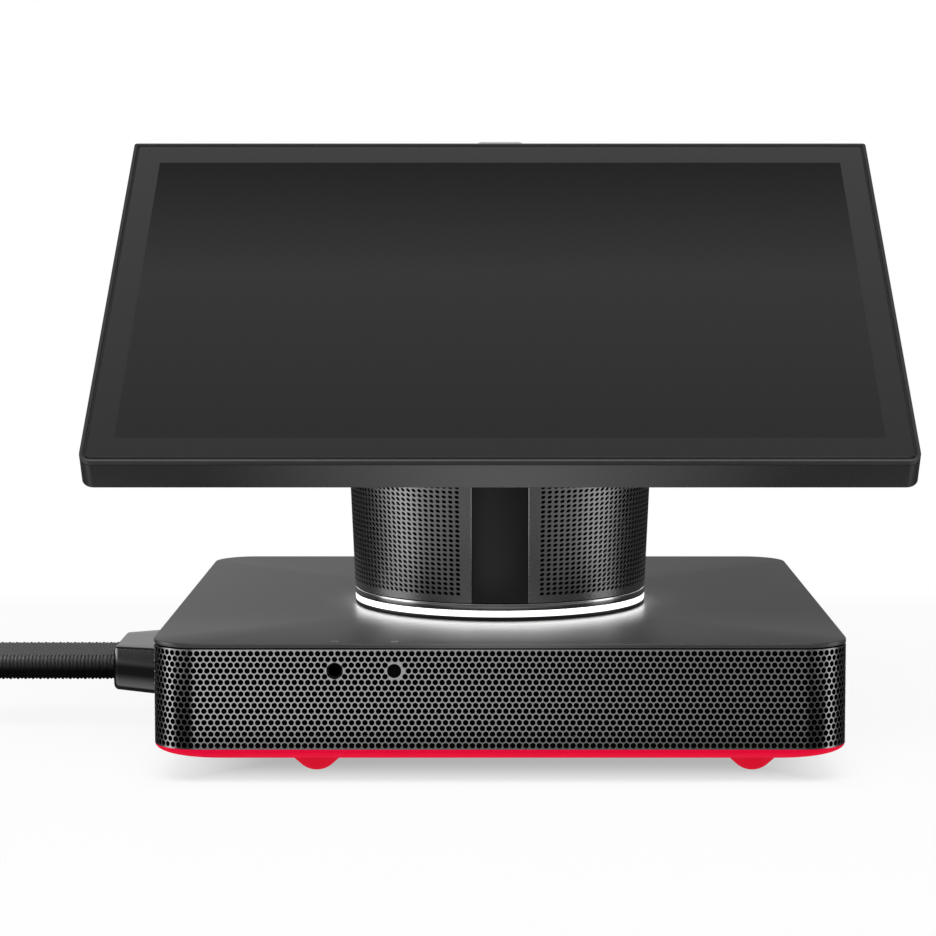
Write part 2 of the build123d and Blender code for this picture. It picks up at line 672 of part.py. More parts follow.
with BuildPart() as board_screws:
    add(screws(board_screw_places, Plane.XY.offset(BOARD_TOP), BOARD_SCREW_LENGTH))
    add(screws(io_screw_places, Plane.XY.offset(CONTROL_FLOOR), IO_SCREW_LENGTH))
board_screws.part.label = "board_screws"
export_step(board_screws.part, "parts/board_screws.step")

# Blower: housing with a top inlet and an outlet towards the heat sink, and its rotor.
outlet_back_y = BLOWER_Y + BLOWER_R
outlet_corner = (Align.MAX, Align.MAX)
with BuildPart() as fan_housing:
    with BuildSketch(Plane.XY.offset(BLOWER_BOTTOM)):
        with Locations((BLOWER_X, BLOWER_Y)):
            Circle(BLOWER_R)
        with Locations((BLOWER_X, outlet_back_y)):
            Rectangle(BLOWER_OUTLET_WIDTH, BLOWER_OUTLET_DEPTH, align=outlet_corner)
    extrude(amount=BLOWER_HEIGHT)
    with BuildSketch(Plane.XY.offset(BLOWER_CAVITY_BOTTOM)):
        with Locations((BLOWER_X, BLOWER_Y)):
            Circle(BLOWER_R - BLOWER_WALL)
        with Locations((BLOWER_X, outlet_back_y - BLOWER_WALL)):
            Rectangle(BLOWER_OUTLET_WIDTH, BLOWER_OUTLET_DEPTH - 2 * BLOWER_WALL, align=outlet_corner)
    extrude(amount=BLOWER_HEIGHT - 2 * BLOWER_SHEET, mode=Mode.SUBTRACT)
    with BuildSketch(Plane.XY.offset(BLOWER_BOTTOM + BLOWER_HEIGHT)):
        with Locations((BLOWER_X, BLOWER_Y)):
            Circle(BLOWER_INLET_R)
    extrude(amount=-BLOWER_SHEET, mode=Mode.SUBTRACT)
    with BuildSketch(Plane.XY.offset(BLOWER_CAVITY_BOTTOM)):
        with Locations((BLOWER_X, BLOWER_Y)):
            Circle(AXLE_R)
    extrude(amount=AXLE_HEIGHT)
fan_housing.part.label = "fan_housing"
export_step(fan_housing.part, "parts/fan_housing.step")

with BuildPart() as fan_rotor:
    with BuildSketch(Plane.XY.offset(ROTOR_BOTTOM)):
        with Locations((BLOWER_X, BLOWER_Y)):
            Circle(ROTOR_R)
    extrude(amount=ROTOR_DISC)
    with BuildSketch(Plane.XY.offset(ROTOR_BOTTOM)):
        with Locations((BLOWER_X, BLOWER_Y)):
            Circle(ROTOR_HUB_R)
    extrude(amount=ROTOR_HUB_HEIGHT)
    with BuildSketch(Plane.XY.offset(ROTOR_BOTTOM + ROTOR_DISC)):
        with Locations((BLOWER_X, BLOWER_Y)):
            with PolarLocations(BLADE_PITCH_R, BLADE_COUNT):
                Rectangle(BLADE_LENGTH, BLADE_THICKNESS, rotation=BLADE_ANGLE)
    extrude(amount=BLADE_HEIGHT)
    with BuildSketch(Plane.XY.offset(ROTOR_BOTTOM)):
        with Locations((BLOWER_X, BLOWER_Y)):
            Circle(AXLE_R + PRESS_FIT)
    extrude(amount=ROTOR_HUB_HEIGHT, mode=Mode.SUBTRACT)
fan_rotor.part.label = "fan_rotor"
export_step(fan_rotor.part, "parts/fan_rotor.step")

# ---------------------------------------------------------------- base: jack and power button
with BuildPart() as io_board:
    with BuildSketch(Plane.XY.offset(SHELF_TOP)):
        with Locations((CONTROL_MID_X, BASE_FRONT_Y + FRAME_INNER + 2 * SLIDE_FIT)):
            Rectangle(IO_BOARD_WIDTH, IO_BOARD_DEPTH, align=(Align.CENTER, Align.MIN))
        with Locations(*io_screw_places):
            Circle(SCREW_HOLE_R, mode=Mode.SUBTRACT)
    extrude(amount=IO_BOARD)
io_board.part.label = "io_board"
export_step(io_board.part, "parts/io_board.step")

with BuildPart() as audio_jack:
    with BuildSketch(Plane.XY.offset(CONTROL_FLOOR)):
        with Locations((JACK_X, BASE_FRONT_Y + FRAME_INNER + 4 * SLIDE_FIT)):
            Rectangle(JACK_WIDTH, JACK_LENGTH, align=(Align.CENTER, Align.MIN))
    extrude(amount=2 * CONTROL_HEIGHT)
    # Round nose that reaches the back of the grille, and the plug's bore.
    with BuildSketch(front_plane.offset(-BEHIND_GRILLE)):
        with Locations((JACK_X, 0)):
            Circle(JACK_NOSE_R)
    extrude(amount=-JACK_NOSE)
    with BuildSketch(front_plane.offset(-BEHIND_GRILLE)):
        with Locations((JACK_X, 0)):
            Circle(JACK_BORE_R)
    extrude(amount=-JACK_DEPTH, mode=Mode.SUBTRACT)
audio_jack.part.label = "audio_jack"
export_step(audio_jack.part, "parts/audio_jack.step")

with BuildPart() as power_button:
    with BuildSketch(front_plane.offset(-BUTTON_SETBACK)):
        with Locations((BUTTON_X, 0)):
            Circle(BUTTON_R)
    extrude(amount=-BUTTON_CAP)
    # Collar that keeps the cap behind the grille, and the stem that meets the switch.
    with BuildSketch(front_plane.offset(-BEHIND_GRILLE)):
        with Locations((BUTTON_X, 0)):
            Circle(BUTTON_COLLAR_R)
    extrude(amount=-BUTTON_COLLAR)
    with BuildSketch(front_plane.offset(-BUTTON_SETBACK)):
        with Locations((BUTTON_X, 0)):
            Circle(BUTTON_STEM_R)
    extrude(amount=-BUTTON_LENGTH)
    cap_face = power_button.faces().filter_by(Axis.Y).sort_by(Axis.Y)[0]
    fillet(cap_face.outer_wire().edges(), BUTTON_EDGE)
power_button.part.label = "power_button"
export_step(power_button.part, "parts/power_button.step")

switch_face = front_plane.offset(-(BUTTON_SETBACK + BUTTON_LENGTH + BUTTON_TRAVEL + SWITCH_GAP + PLUNGER))
with BuildPart() as button_switch:
    with BuildSketch(switch_face):
        with Locations((BUTTON_X, 0)):
            Rectangle(SWITCH_WIDTH, 2 * CONTROL_HEIGHT)
    extrude(amount=-SWITCH_DEPTH)
    with BuildSketch(switch_face):
        with Locations((BUTTON_X, 0)):
            Circle(PLUNGER_R)
    extrude(amount=PLUNGER)
button_switch.part.label = "button_switch"
export_step(button_switch.part, "parts/button_switch.step")

# ---------------------------------------------------------------- base: cable, boot and clamp
with BuildPart() as cable:
    with BuildSketch(Plane(origin=(CABLE_INNER_X, CABLE_Y, CABLE_Z), x_dir=(0, -1, 0), z_dir=(-1, 0, 0))):
        RectangleRounded(CABLE_WIDTH, CABLE_THICKNESS, CABLE_CORNER)
    extrude(amount=CABLE_INNER_X - CABLE_OUTER_X)
cable.part.label = "cable"
export_step(cable.part, "parts/cable.step")

with BuildPart() as cable_boot:
    # Tapers from a wide root, which reaches forward of the cable, to the end round the cable.
    with BuildSketch(left_plane):
        with Locations((BOOT_ROOT_FORWARD, -BOOT_ROOT_LOWER)):
            RectangleRounded(BOOT_ROOT_WIDTH, BOOT_ROOT_HEIGHT, BOOT_CORNER)
    with BuildSketch(left_plane.offset(BOOT_LENGTH)):
        with Locations((BOOT_END_FORWARD, -BOOT_END_LOWER)):
            RectangleRounded(BOOT_END_WIDTH, BOOT_END_HEIGHT, BOOT_CORNER)
    loft()
    boot_end = cable_boot.faces().sort_by(Axis.X)[0]
    fillet(boot_end.edges(), BOOT_END_EDGE)
    # Neck through the grille and frame, and the flange that holds the boot from inside.
    with BuildSketch(left_plane):
        RectangleRounded(BOOT_NECK_WIDTH, BOOT_NECK_HEIGHT, BOOT_NECK_CORNER)
    extrude(amount=-FRAME_INNER)
    with BuildSketch(left_plane.offset(-FRAME_INNER)):
        RectangleRounded(BOOT_FLANGE_WIDTH, BOOT_FLANGE_HEIGHT, BOOT_FLANGE_CORNER)
    extrude(amount=-BOOT_FLANGE)
    with BuildSketch(left_plane.offset(-FRAME_INNER - BOOT_FLANGE)):
        RectangleRounded(CABLE_WIDTH + SLIDE_FIT, CABLE_THICKNESS + SLIDE_FIT, CABLE_CORNER + SLIDE_FIT / 2)
    extrude(amount=FRAME_INNER + BOOT_FLANGE + BOOT_LENGTH, mode=Mode.SUBTRACT)
cable_boot.part.label = "cable_boot"
export_step(cable_boot.part, "parts/cable_boot.step")

with BuildPart() as cable_clamp:
    with BuildSketch(Plane.XY.offset(CABLE_TOP)):
        with Locations((CLAMP_X, CABLE_Y)):
            Rectangle(CLAMP_WIDTH, CLAMP_LENGTH)
        with Locations(*clamp_screw_places):
            Circle(SCREW_HOLE_R, mode=Mode.SUBTRACT)
    extrude(amount=CLAMP_SHEET)
cable_clamp.part.label = "cable_clamp"
export_step(cable_clamp.part, "parts/cable_clamp.step")

with BuildPart() as cable_clamp_screws:
    add(screws(clamp_screw_places, Plane.XY.offset(CABLE_TOP + CLAMP_SHEET), CLAMP_SCREW_LENGTH))
cable_clamp_screws.part.label = "cable_clamp_screws"
export_step(cable_clamp_screws.part, "parts/cable_clamp_screws.step")

plug_face = Plane(origin=(PLUG_X, CABLE_Y, CABLE_Z), x_dir=(0, 1, 0), z_dir=(1, 0, 0))
with BuildPart() as cable_plug:
    with BuildSketch(plug_face):
        RectangleRounded(PLUG_WIDTH, CABLE_THICKNESS, PLUG_CORNER)
    extrude(amount=CABLE_INNER_X - PLUG_X)
    with BuildSketch(plug_face):
        Rectangle(TONGUE_WIDTH, TONGUE_HEIGHT)
    extrude(amount=TONGUE_LENGTH)
cable_plug.part.label = "cable_plug"
export_step(cable_plug.part, "parts/cable_plug.step")

with BuildPart() as cable_socket:
    with BuildSketch(plug_face):
        with Locations((0, BOARD_TOP - CABLE_Z)):
            Rectangle(SOCKET_WIDTH, SOCKET_HEIGHT, align=(Align.CENTER, Align.MIN))
    extrude(amount=SOCKET_LENGTH)
    with BuildSketch(plug_face):
        Rectangle(TONGUE_WIDTH + 2 * SLIDE_FIT, TONGUE_HEIGHT + 2 * SLIDE_FIT)
    extrude(amount=TONGUE_LENGTH + 0.5, mode=Mode.SUBTRACT)
cable_socket.part.label = "cable_socket"
export_step(cable_socket.part, "parts/cable_socket.step")

with BuildPart() as harness_socket:
    with BuildSketch(Plane.XY.offset(BOARD_TOP)):
        RectangleRounded(HARNESS_SOCKET_SIDE, HARNESS_SOCKET_SIDE, 1)
    extrude(amount=HARNESS_SOCKET_HEIGHT)
    with BuildSketch(Plane.XY.offset(BOARD_TOP + HARNESS_SOCKET_FLOOR)):
        Circle(HARNESS_R + LOOSE_FIT)
    extrude(amount=HARNESS_SOCKET_HEIGHT - HARNESS_SOCKET_FLOOR, mode=Mode.SUBTRACT)
harness_socket.part.label = "harness_socket"
export_step(harness_socket.part, "parts/harness_socket.step")

# ---------------------------------------------------------------- neck foot: fixed rings
with BuildPart() as neck_pedestal:
    wall_inner_r = PEDESTAL_R - PEDESTAL_WALL
    add(
        turned(
            [
                (HUB_BORE_R, HUB_BOTTOM),
                (HUB_R, HUB_BOTTOM),
                (HUB_R, WEB_BOTTOM),
                (PEDESTAL_FLANGE_R, WEB_BOTTOM),
                (PEDESTAL_FLANGE_R, FRAME_PLATE_BOTTOM),
                (PEDESTAL_R, FRAME_PLATE_BOTTOM),
                (PEDESTAL_R, PEDESTAL_TOP),
                (wall_inner_r, PEDESTAL_TOP),
                (wall_inner_r, FRAME_PLATE_BOTTOM),
                (HUB_R, FRAME_PLATE_BOTTOM),
                (HUB_R, HUB_TOP),
                (HUB_BORE_R, HUB_TOP),
            ]
        )
    )
    with BuildSketch(Plane.XY.offset(WEB_BOTTOM)):
        with Locations(*pedestal_screw_places):
            Circle(PEDESTAL_BOSS_R)
    extrude(amount=-PEDESTAL_BOSS)
    with BuildSketch(Plane.XY.offset(FRAME_PLATE_BOTTOM)):
        with Locations(*pedestal_screw_places):
            Circle(SCREW_HOLE_R)
    extrude(amount=-(PEDESTAL_SCREW_LENGTH - 0.5), mode=Mode.SUBTRACT)
    # Hole for the stop pin, behind the axis.
    with BuildSketch(Plane.XY.offset(WEB_BOTTOM)):
        with Locations((0, STOP_R)):
            Circle(STOP_PIN_R)
    extrude(amount=WEB, mode=Mode.SUBTRACT)
neck_pedestal.part.label = "neck_pedestal"
export_step(neck_pedestal.part, "parts/neck_pedestal.step")

with BuildPart() as pedestal_screws:
    add(screws(pedestal_screw_places, Plane.XY.offset(DECK_SCREW_SEAT), PEDESTAL_SCREW_LENGTH))
pedestal_screws.part.label = "pedestal_screws"
export_step(pedestal_screws.part, "parts/pedestal_screws.step")

with BuildPart() as stop_pin:
    with BuildSketch(Plane.XY.offset(WEB_BOTTOM)):
        with Locations((0, STOP_R)):
            Circle(STOP_PIN_R - PIN_FIT)
    extrude(amount=STOP_PIN_LENGTH)
stop_pin.part.label = "stop_pin"
export_step(stop_pin.part, "parts/stop_pin.step")

with BuildPart() as trim_ring:
    revolve(neck_section(0, TRIM_WALL, DECK_TOP, TRIM_TOP), axis=Axis.Z)
trim_ring.part.label = "trim_ring"
export_step(trim_ring.part, "parts/trim_ring.step")

with BuildPart() as light_ring:
    revolve(neck_section(0, LIGHT_WALL, TRIM_TOP, LIGHT_TOP), axis=Axis.Z)
light_ring.part.label = "light_ring"
export_step(light_ring.part, "parts/light_ring.step")

with BuildPart() as led_strip:
    with BuildSketch(Plane.XY.offset(TRIM_TOP + SLIDE_FIT)):
        Circle(LED_STRIP_R)
        Circle(LED_STRIP_R - LED_STRIP_SHEET, mode=Mode.SUBTRACT)
    extrude(amount=LED_STRIP_HEIGHT)
    with BuildSketch(Plane.XY.offset(TRIM_TOP + 3 * SLIDE_FIT)):
        with PolarLocations(LED_STRIP_R + LED_DEPTH / 4, LED_COUNT):
            Rectangle(LED_DEPTH, LED_WIDTH)
    extrude(amount=LED_HEIGHT)
led_strip.part.label = "led_strip"
export_step(led_strip.part, "parts/led_strip.step")

with BuildPart() as neck_band:
    revolve(neck_section(0, BAND_WALL, LIGHT_TOP, BAND_TOP), axis=Axis.Z)
neck_band.part.label = "neck_band"
export_step(neck_band.part, "parts/neck_band.step")

# ---------------------------------------------------------------- swivel
with BuildPart() as swivel_bush:
    add(
        turned(
            [
                (BUSH_INNER_R, HUB_BOTTOM),
                (BUSH_OUTER_R, HUB_BOTTOM),
                (BUSH_OUTER_R, HUB_TOP),
                (BUSH_FLANGE_R, HUB_TOP),
                (BUSH_FLANGE_R, BUSH_TOP),
                (BUSH_INNER_R, BUSH_TOP),
            ]
        )
    )
swivel_bush.part.label = "swivel_bush"
export_step(swivel_bush.part, "parts/swivel_bush.step")

with BuildPart() as swivel_spindle:
    add(
        turned(
            [
                (SHAFT_BORE_R, SHAFT_BOTTOM),
                (SHAFT_R, SHAFT_BOTTOM),
                (SHAFT_R, GROOVE_BOTTOM),
                (GROOVE_R, GROOVE_BOTTOM),
                (GROOVE_R, GROOVE_BOTTOM + GROOVE_WIDTH),
                (SHAFT_R, GROOVE_BOTTOM + GROOVE_WIDTH),
                (SHAFT_R, BUSH_TOP),
                (SHAFT_FLANGE_R, BUSH_TOP),
                (SHAFT_FLANGE_R, NECK_BOTTOM),
                (SHAFT_BORE_R, NECK_BOTTOM),
            ]
        )
    )
    with BuildSketch(Plane.XY.offset(NECK_BOTTOM)):
        with Locations(*spindle_screw_places):
            Circle(SCREW_HOLE_R)
    extrude(amount=-SPINDLE_HOLE, mode=Mode.SUBTRACT)
swivel_spindle.part.label = "swivel_spindle"
export_step(swivel_spindle.part, "parts/swivel_spindle.step")

with BuildPart() as wave_washer:
    with BuildSketch(Plane.XY.offset(HUB_BOTTOM)):
        Circle(WASHER_OUTER_R)
        Circle(WASHER_INNER_R, mode=Mode.SUBTRACT)
    extrude(amount=GROOVE_BOTTOM + GROOVE_WIDTH + SLIDE_FIT - HUB_BOTTOM)
wave_washer.part.label = "wave_washer"
export_step(wave_washer.part, "parts/wave_washer.step")

with BuildPart() as swivel_retainer:
    with BuildSketch(Plane.XY.offset(GROOVE_BOTTOM + PRESS_FIT)):
        Circle(RETAINER_R)
        Circle(GROOVE_R + PRESS_FIT, mode=Mode.SUBTRACT)
        Rectangle(RETAINER_R + 1, RETAINER_SLOT, align=(Align.MIN, Align.CENTER), mode=Mode.SUBTRACT)
    extrude(amount=GROOVE_WIDTH - 2 * PRESS_FIT)
swivel_retainer.part.label = "swivel_retainer"
export_step(swivel_retainer.part, "parts/swivel_retainer.step")

with BuildPart() as spindle_screws:
    add(screws(spindle_screw_places, Plane.XY.offset(NECK_BOTTOM + CORE_FLOOR), SPINDLE_SCREW_LENGTH))
spindle_screws.part.label = "spindle_screws"
export_step(spindle_screws.part, "parts/spindle_screws.step")

# ---------------------------------------------------------------- neck
with BuildPart() as neck_core:
    add(neck_wall(CORE_INSET, CORE_WALL))
    core_inner_r = neck_radius(NECK_BOTTOM) - CORE_INSET - CORE_WALL / 2
    # Flat bulkheads that carry the speakers, trimmed to the display's back.
    with BuildSketch(Plane.XY.offset(NECK_BOTTOM)):
        with Locations((-BULKHEAD_INNER_X, 0)):
            Rectangle(BULKHEAD, 2 * NECK_BASE_R, align=(Align.MAX, Align.CENTER))
        with Locations((BULKHEAD_INNER_X, 0)):
            Rectangle(BULKHEAD, 2 * NECK_BASE_R, align=(Align.MIN, Align.CENTER))
        Circle(core_inner_r, mode=Mode.INTERSECT)
    extrude(amount=PAST_DISPLAY)
    split(bisect_by=back_plane, keep=Keep.BOTTOM)
    with BuildSketch(Plane.XY.offset(NECK_BOTTOM)):
        Circle(core_inner_r)
    extrude(amount=CORE_FLOOR)
    with BuildSketch(Plane.YZ):
        with Locations((0, SPEAKER_Z)):
            Circle(SPEAKER_WINDOW_R)
    extrude(amount=NECK_BASE_R, both=True, mode=Mode.SUBTRACT)
    # Wiring hole and screw holes in the floor.
    with BuildSketch(Plane.XY.offset(NECK_BOTTOM)):
        Circle(SHAFT_BORE_R + 1)
        with Locations(*spindle_screw_places):
            Circle(SCREW_HOLE_R)
    extrude(amount=CORE_FLOOR, mode=Mode.SUBTRACT)
    # Stop lug, in front of the axis, that meets the stop pin at either end of the swivel.
    with BuildSketch(Plane.XY.offset(NECK_BOTTOM)):
        with Locations((0, -STOP_R)):
            Rectangle(STOP_LUG, STOP_LUG)
    extrude(amount=-STOP_LUG_DROP)
    # Oblique flange under the display, and its screw bosses.
    with BuildPart(mode=Mode.PRIVATE) as oblique_flange:
        add(neck_wall(CORE_INSET, CORE_FLANGE))
        split(bisect_by=back_plane.offset(-CORE_FLANGE_SHEET), keep=Keep.TOP)
    add(oblique_flange.part)
    with BuildSketch(back_plane):
        with Locations(*bracket_screw_places):
            Circle(BRACKET_BOSS_R)
    extrude(amount=-BRACKET_BOSS)
    with BuildSketch(back_plane):
        with Locations(*bracket_screw_places):
            Circle(SCREW_HOLE_R)
    extrude(amount=-(BRACKET_BOSS - 1), mode=Mode.SUBTRACT)
neck_core.part.label = "neck_core"
export_step(neck_core.part, "parts/neck_core.step")


def speaker_grille(side):
    """One half of the perforated neck cover, with returns that stand it off the core."""
    edge_x = STRIP_HALF_WIDTH + 2 * SLIDE_FIT
    beyond = 2 * NECK_BASE_R
    with BuildPart(mode=Mode.PRIVATE) as edge_returns:
        add(neck_wall(NECK_SHEET, CORE_INSET - NECK_SHEET))
        with BuildSketch(Plane.XY):
            with Locations((side * (edge_x + RETURN_WIDTH / 2), 0)):
                Rectangle(RETURN_WIDTH, 2 * beyond)
        extrude(amount=2 * PAST_DISPLAY, mode=Mode.INTERSECT)
    with BuildPart(mode=Mode.PRIVATE) as cover:
        add(neck_wall(0, NECK_SHEET))
        with BuildSketch(Plane.XY):
            with Locations((side * (edge_x + beyond / 2), 0)):
                Rectangle(beyond, 2 * beyond)
        extrude(amount=2 * PAST_DISPLAY, mode=Mode.INTERSECT)
        add(edge_returns.part)
    return cover.part


with BuildPart() as speaker_grille_left:
    add(speaker_grille(-1))
speaker_grille_left.part.label = "speaker_grille_left"
export_step(speaker_grille_left.part, "parts/speaker_grille_left.step")

with BuildPart() as speaker_grille_right:
    add(speaker_grille(1))
speaker_grille_right.part.label = "speaker_grille_right"
export_step(speaker_grille_right.part, "parts/speaker_grille_right.step")


def neck_strip(side):
    """Smooth strip between the two grilles; side is -1 at the front and 1 at the rear."""
    with BuildPart(mode=Mode.PRIVATE) as strip:
        add(neck_wall(STRIP_RECESS, CORE_INSET - STRIP_RECESS))
        with BuildSketch(Plane.XY):
            with Locations((0, side * NECK_BASE_R)):
                Rectangle(2 * STRIP_HALF_WIDTH, NECK_BASE_R)
        extrude(amount=2 * PAST_DISPLAY, mode=Mode.INTERSECT)
    return strip.part


with BuildPart() as neck_front_strip:
    add(neck_strip(-1))
neck_front_strip.part.label = "neck_front_strip"
export_step(neck_front_strip.part, "parts/neck_front_strip.step")

with BuildPart() as neck_rear_strip:
    add(neck_strip(1))
neck_rear_strip.part.label = "neck_rear_strip"
export_step(neck_rear_strip.part, "parts/neck_rear_strip.step")

# ---------------------------------------------------------------- speakers
def speaker_solid(outline, side):
    """Speaker piece turned about the horizontal speaker axis, for the left (-1) or right (1) side."""
    plane = Plane(origin=(0, 0, SPEAKER_Z), x_dir=(side, 0, 0), z_dir=(0, -side, 0))
    return turned(outline, axis=Axis((0, 0, SPEAKER_Z), (1, 0, 0)), plane=plane)


for side_name, side in (("left", -1), ("right", 1)):
    for piece, outline in (("basket", BASKET), ("cone", CONE), ("magnet", MAGNET)):
        with BuildPart() as speaker_piece:
            add(speaker_solid(outline, side))
        speaker_piece.part.label = f"speaker_{piece}_{side_name}"
        export_step(speaker_piece.part, f"parts/speaker_{piece}_{side_name}.step")

# ---------------------------------------------------------------- display
with BuildPart() as display_rear_housing:
    with BuildSketch(back_plane):
        add(display_outline(0))
    extrude(amount=DISPLAY_THICKNESS - RIM_DEPTH)
    rear_face = display_rear_housing.faces().sort_by(Axis((0, 0, 0), display_normal))[0]
    fillet(rear_face.edges(), HOUSING_EDGE)
    with BuildSketch(floor_plane):
        add(display_outline(HOUSING_WALL))
    extrude(amount=DISPLAY_THICKNESS, mode=Mode.SUBTRACT)
    # Bosses for the display board.
    with BuildSketch(floor_plane):
        with Locations(*display_board_screw_places):
            Circle(DISPLAY_BOARD_BOSS_R)
    extrude(amount=DISPLAY_THICKNESS - HOUSING_FLOOR - DISPLAY_BOARD_DEPTH)
    with BuildSketch(board_plane):
        with Locations(*display_board_screw_places):
            Circle(SCREW_HOLE_R)
    extrude(amount=-(DISPLAY_SCREW_LENGTH - 1), mode=Mode.SUBTRACT)
    # Screw holes to the neck, the wiring hole along the swivel axis, and the light bar's slot.
    with BuildSketch(back_plane):
        with Locations(*bracket_screw_places):
            Circle(SCREW_HOLE_R)
    extrude(amount=HOUSING_FLOOR, mode=Mode.SUBTRACT)
    with BuildSketch(Plane.XY.offset(DISPLAY_FOOT_Z)):
        Circle(WIRING_HOLE_R)
    extrude(amount=PAST_DISPLAY, mode=Mode.SUBTRACT)
    with BuildSketch(display_plane.offset(-LIGHT_STEM_BACK - SLIDE_FIT)):
        with Locations((0, DISPLAY_HEIGHT - 1)):
            Rectangle(LIGHT_STEM_WIDTH + 2 * SLIDE_FIT, LIGHT_STEM_LENGTH)
    extrude(amount=LIGHT_STEM_DEPTH + 2 * SLIDE_FIT, mode=Mode.SUBTRACT)
display_rear_housing.part.label = "display_rear_housing"
export_step(display_rear_housing.part, "parts/display_rear_housing.step")

with BuildPart() as display_bracket:
    with BuildSketch(floor_plane):
        with Locations((0, axis_rise)):
            RectangleRounded(BRACKET_SIDE, BRACKET_SIDE, BRACKET_CORNER)
        with Locations(*bracket_screw_places):
            Circle(SCREW_HOLE_R, mode=Mode.SUBTRACT)
    extrude(amount=BRACKET_SHEET)
    with BuildSketch(Plane.XY.offset(DISPLAY_FOOT_Z)):
        Circle(WIRING_HOLE_R)
    extrude(amount=PAST_DISPLAY, mode=Mode.SUBTRACT)
display_bracket.part.label = "display_bracket"
export_step(display_bracket.part, "parts/display_bracket.step")

with BuildPart() as bracket_screws:
    add(screws(bracket_screw_places, floor_plane.offset(BRACKET_SHEET), BRACKET_SCREW_LENGTH))
bracket_screws.part.label = "bracket_screws"
export_step(bracket_screws.part, "parts/bracket_screws.step")

with BuildPart() as display_board:
    with BuildSketch(board_plane):
        with Locations((0, DISPLAY_BOARD_RISE)):
            Rectangle(DISPLAY_BOARD_WIDTH, DISPLAY_BOARD_HEIGHT)
        with Locations(*display_board_screw_places):
            Circle(SCREW_HOLE_R, mode=Mode.SUBTRACT)
    extrude(amount=DISPLAY_BOARD_SHEET)
    with BuildSketch(board_plane.offset(DISPLAY_BOARD_SHEET)):
        with Locations(*DISPLAY_CHIP_PLACES):
            Rectangle(DISPLAY_CHIP_SIDE, DISPLAY_CHIP_SIDE)
    extrude(amount=DISPLAY_CHIP_HEIGHT)
display_board.part.label = "display_board"
export_step(display_board.part, "parts/display_board.step")

with BuildPart() as display_board_screws:
    add(screws(display_board_screw_places, board_plane.offset(DISPLAY_BOARD_SHEET), DISPLAY_SCREW_LENGTH))
display_board_screws.part.label = "display_board_screws"
export_step(display_board_screws.part, "parts/display_board_screws.step")

with BuildPart() as display_harness:
    with BuildSketch(Plane.XY.offset(BOARD_TOP + HARNESS_SOCKET_FLOOR + LOOSE_FIT)):
        Circle(HARNESS_R)
    extrude(amount=PAST_DISPLAY)
    split(bisect_by=board_plane, keep=Keep.BOTTOM)
display_harness.part.label = "display_harness"
export_step(display_harness.part, "parts/display_harness.step")

with BuildPart() as display_frame:
    with BuildSketch(display_plane.offset(-RIM_DEPTH)):
        add(display_outline(0))
        add(display_outline(RIM_LEDGE), mode=Mode.SUBTRACT)
    extrude(amount=RIM_DEPTH)
    # Pocket for the glass, and the tongue that centres the frame in the housing.
    with BuildSketch(display_plane.offset(-GLASS_THICKNESS)):
        add(display_outline(RIM_WIDTH))
    extrude(amount=GLASS_THICKNESS, mode=Mode.SUBTRACT)
    with BuildSketch(display_plane.offset(-RIM_DEPTH)):
        add(display_outline(HOUSING_WALL + SLIDE_FIT))
        add(display_outline(HOUSING_WALL + SLIDE_FIT + TONGUE_WALL), mode=Mode.SUBTRACT)
    extrude(amount=-TONGUE_WALL)
display_frame.part.label = "display_frame"
export_step(display_frame.part, "parts/display_frame.step")

with BuildPart() as cover_glass:
    with BuildSketch(display_plane.offset(-GLASS_THICKNESS)):
        add(display_outline(RIM_WIDTH + GLASS_GAP))
    extrude(amount=GLASS_THICKNESS)
    glass_face = cover_glass.faces().sort_by(Axis((0, 0, 0), display_normal))[-1]
    chamfer(glass_face.edges(), GLASS_CHAMFER)
cover_glass.part.label = "cover_glass"
export_step(cover_glass.part, "parts/cover_glass.step")

with BuildPart() as lcd_panel:
    with BuildSketch(display_plane.offset(-GLASS_THICKNESS - LCD_THICKNESS)):
        with Locations((0, ACTIVE_BOTTOM + ACTIVE_HEIGHT / 2)):
            Rectangle(ACTIVE_WIDTH + 2 * LCD_BORDER, ACTIVE_HEIGHT + 2 * LCD_BORDER)
    extrude(amount=LCD_THICKNESS)
lcd_panel.part.label = "lcd_panel"
export_step(lcd_panel.part, "parts/lcd_panel.step")

with BuildPart() as status_light_bar:
    with BuildSketch(display_plane.offset(-LIGHT_BAR_BACK)):
        with Locations((0, DISPLAY_HEIGHT)):
            Rectangle(LIGHT_BAR_WIDTH, LIGHT_BAR_STAND, align=(Align.CENTER, Align.MIN))
    extrude(amount=LIGHT_BAR_DEPTH)
    # Stem through the top wall that carries the light up from inside.
    with BuildSketch(display_plane.offset(-LIGHT_STEM_BACK)):
        with Locations((0, DISPLAY_HEIGHT)):
            Rectangle(LIGHT_STEM_WIDTH, LIGHT_STEM_LENGTH, align=(Align.CENTER, Align.MAX))
    extrude(amount=LIGHT_STEM_DEPTH)
status_light_bar.part.label = "status_light_bar"
export_step(status_light_bar.part, "parts/status_light_bar.step")
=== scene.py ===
import json
from math import asin, atan2, cos, hypot, pi, radians, sin, sqrt

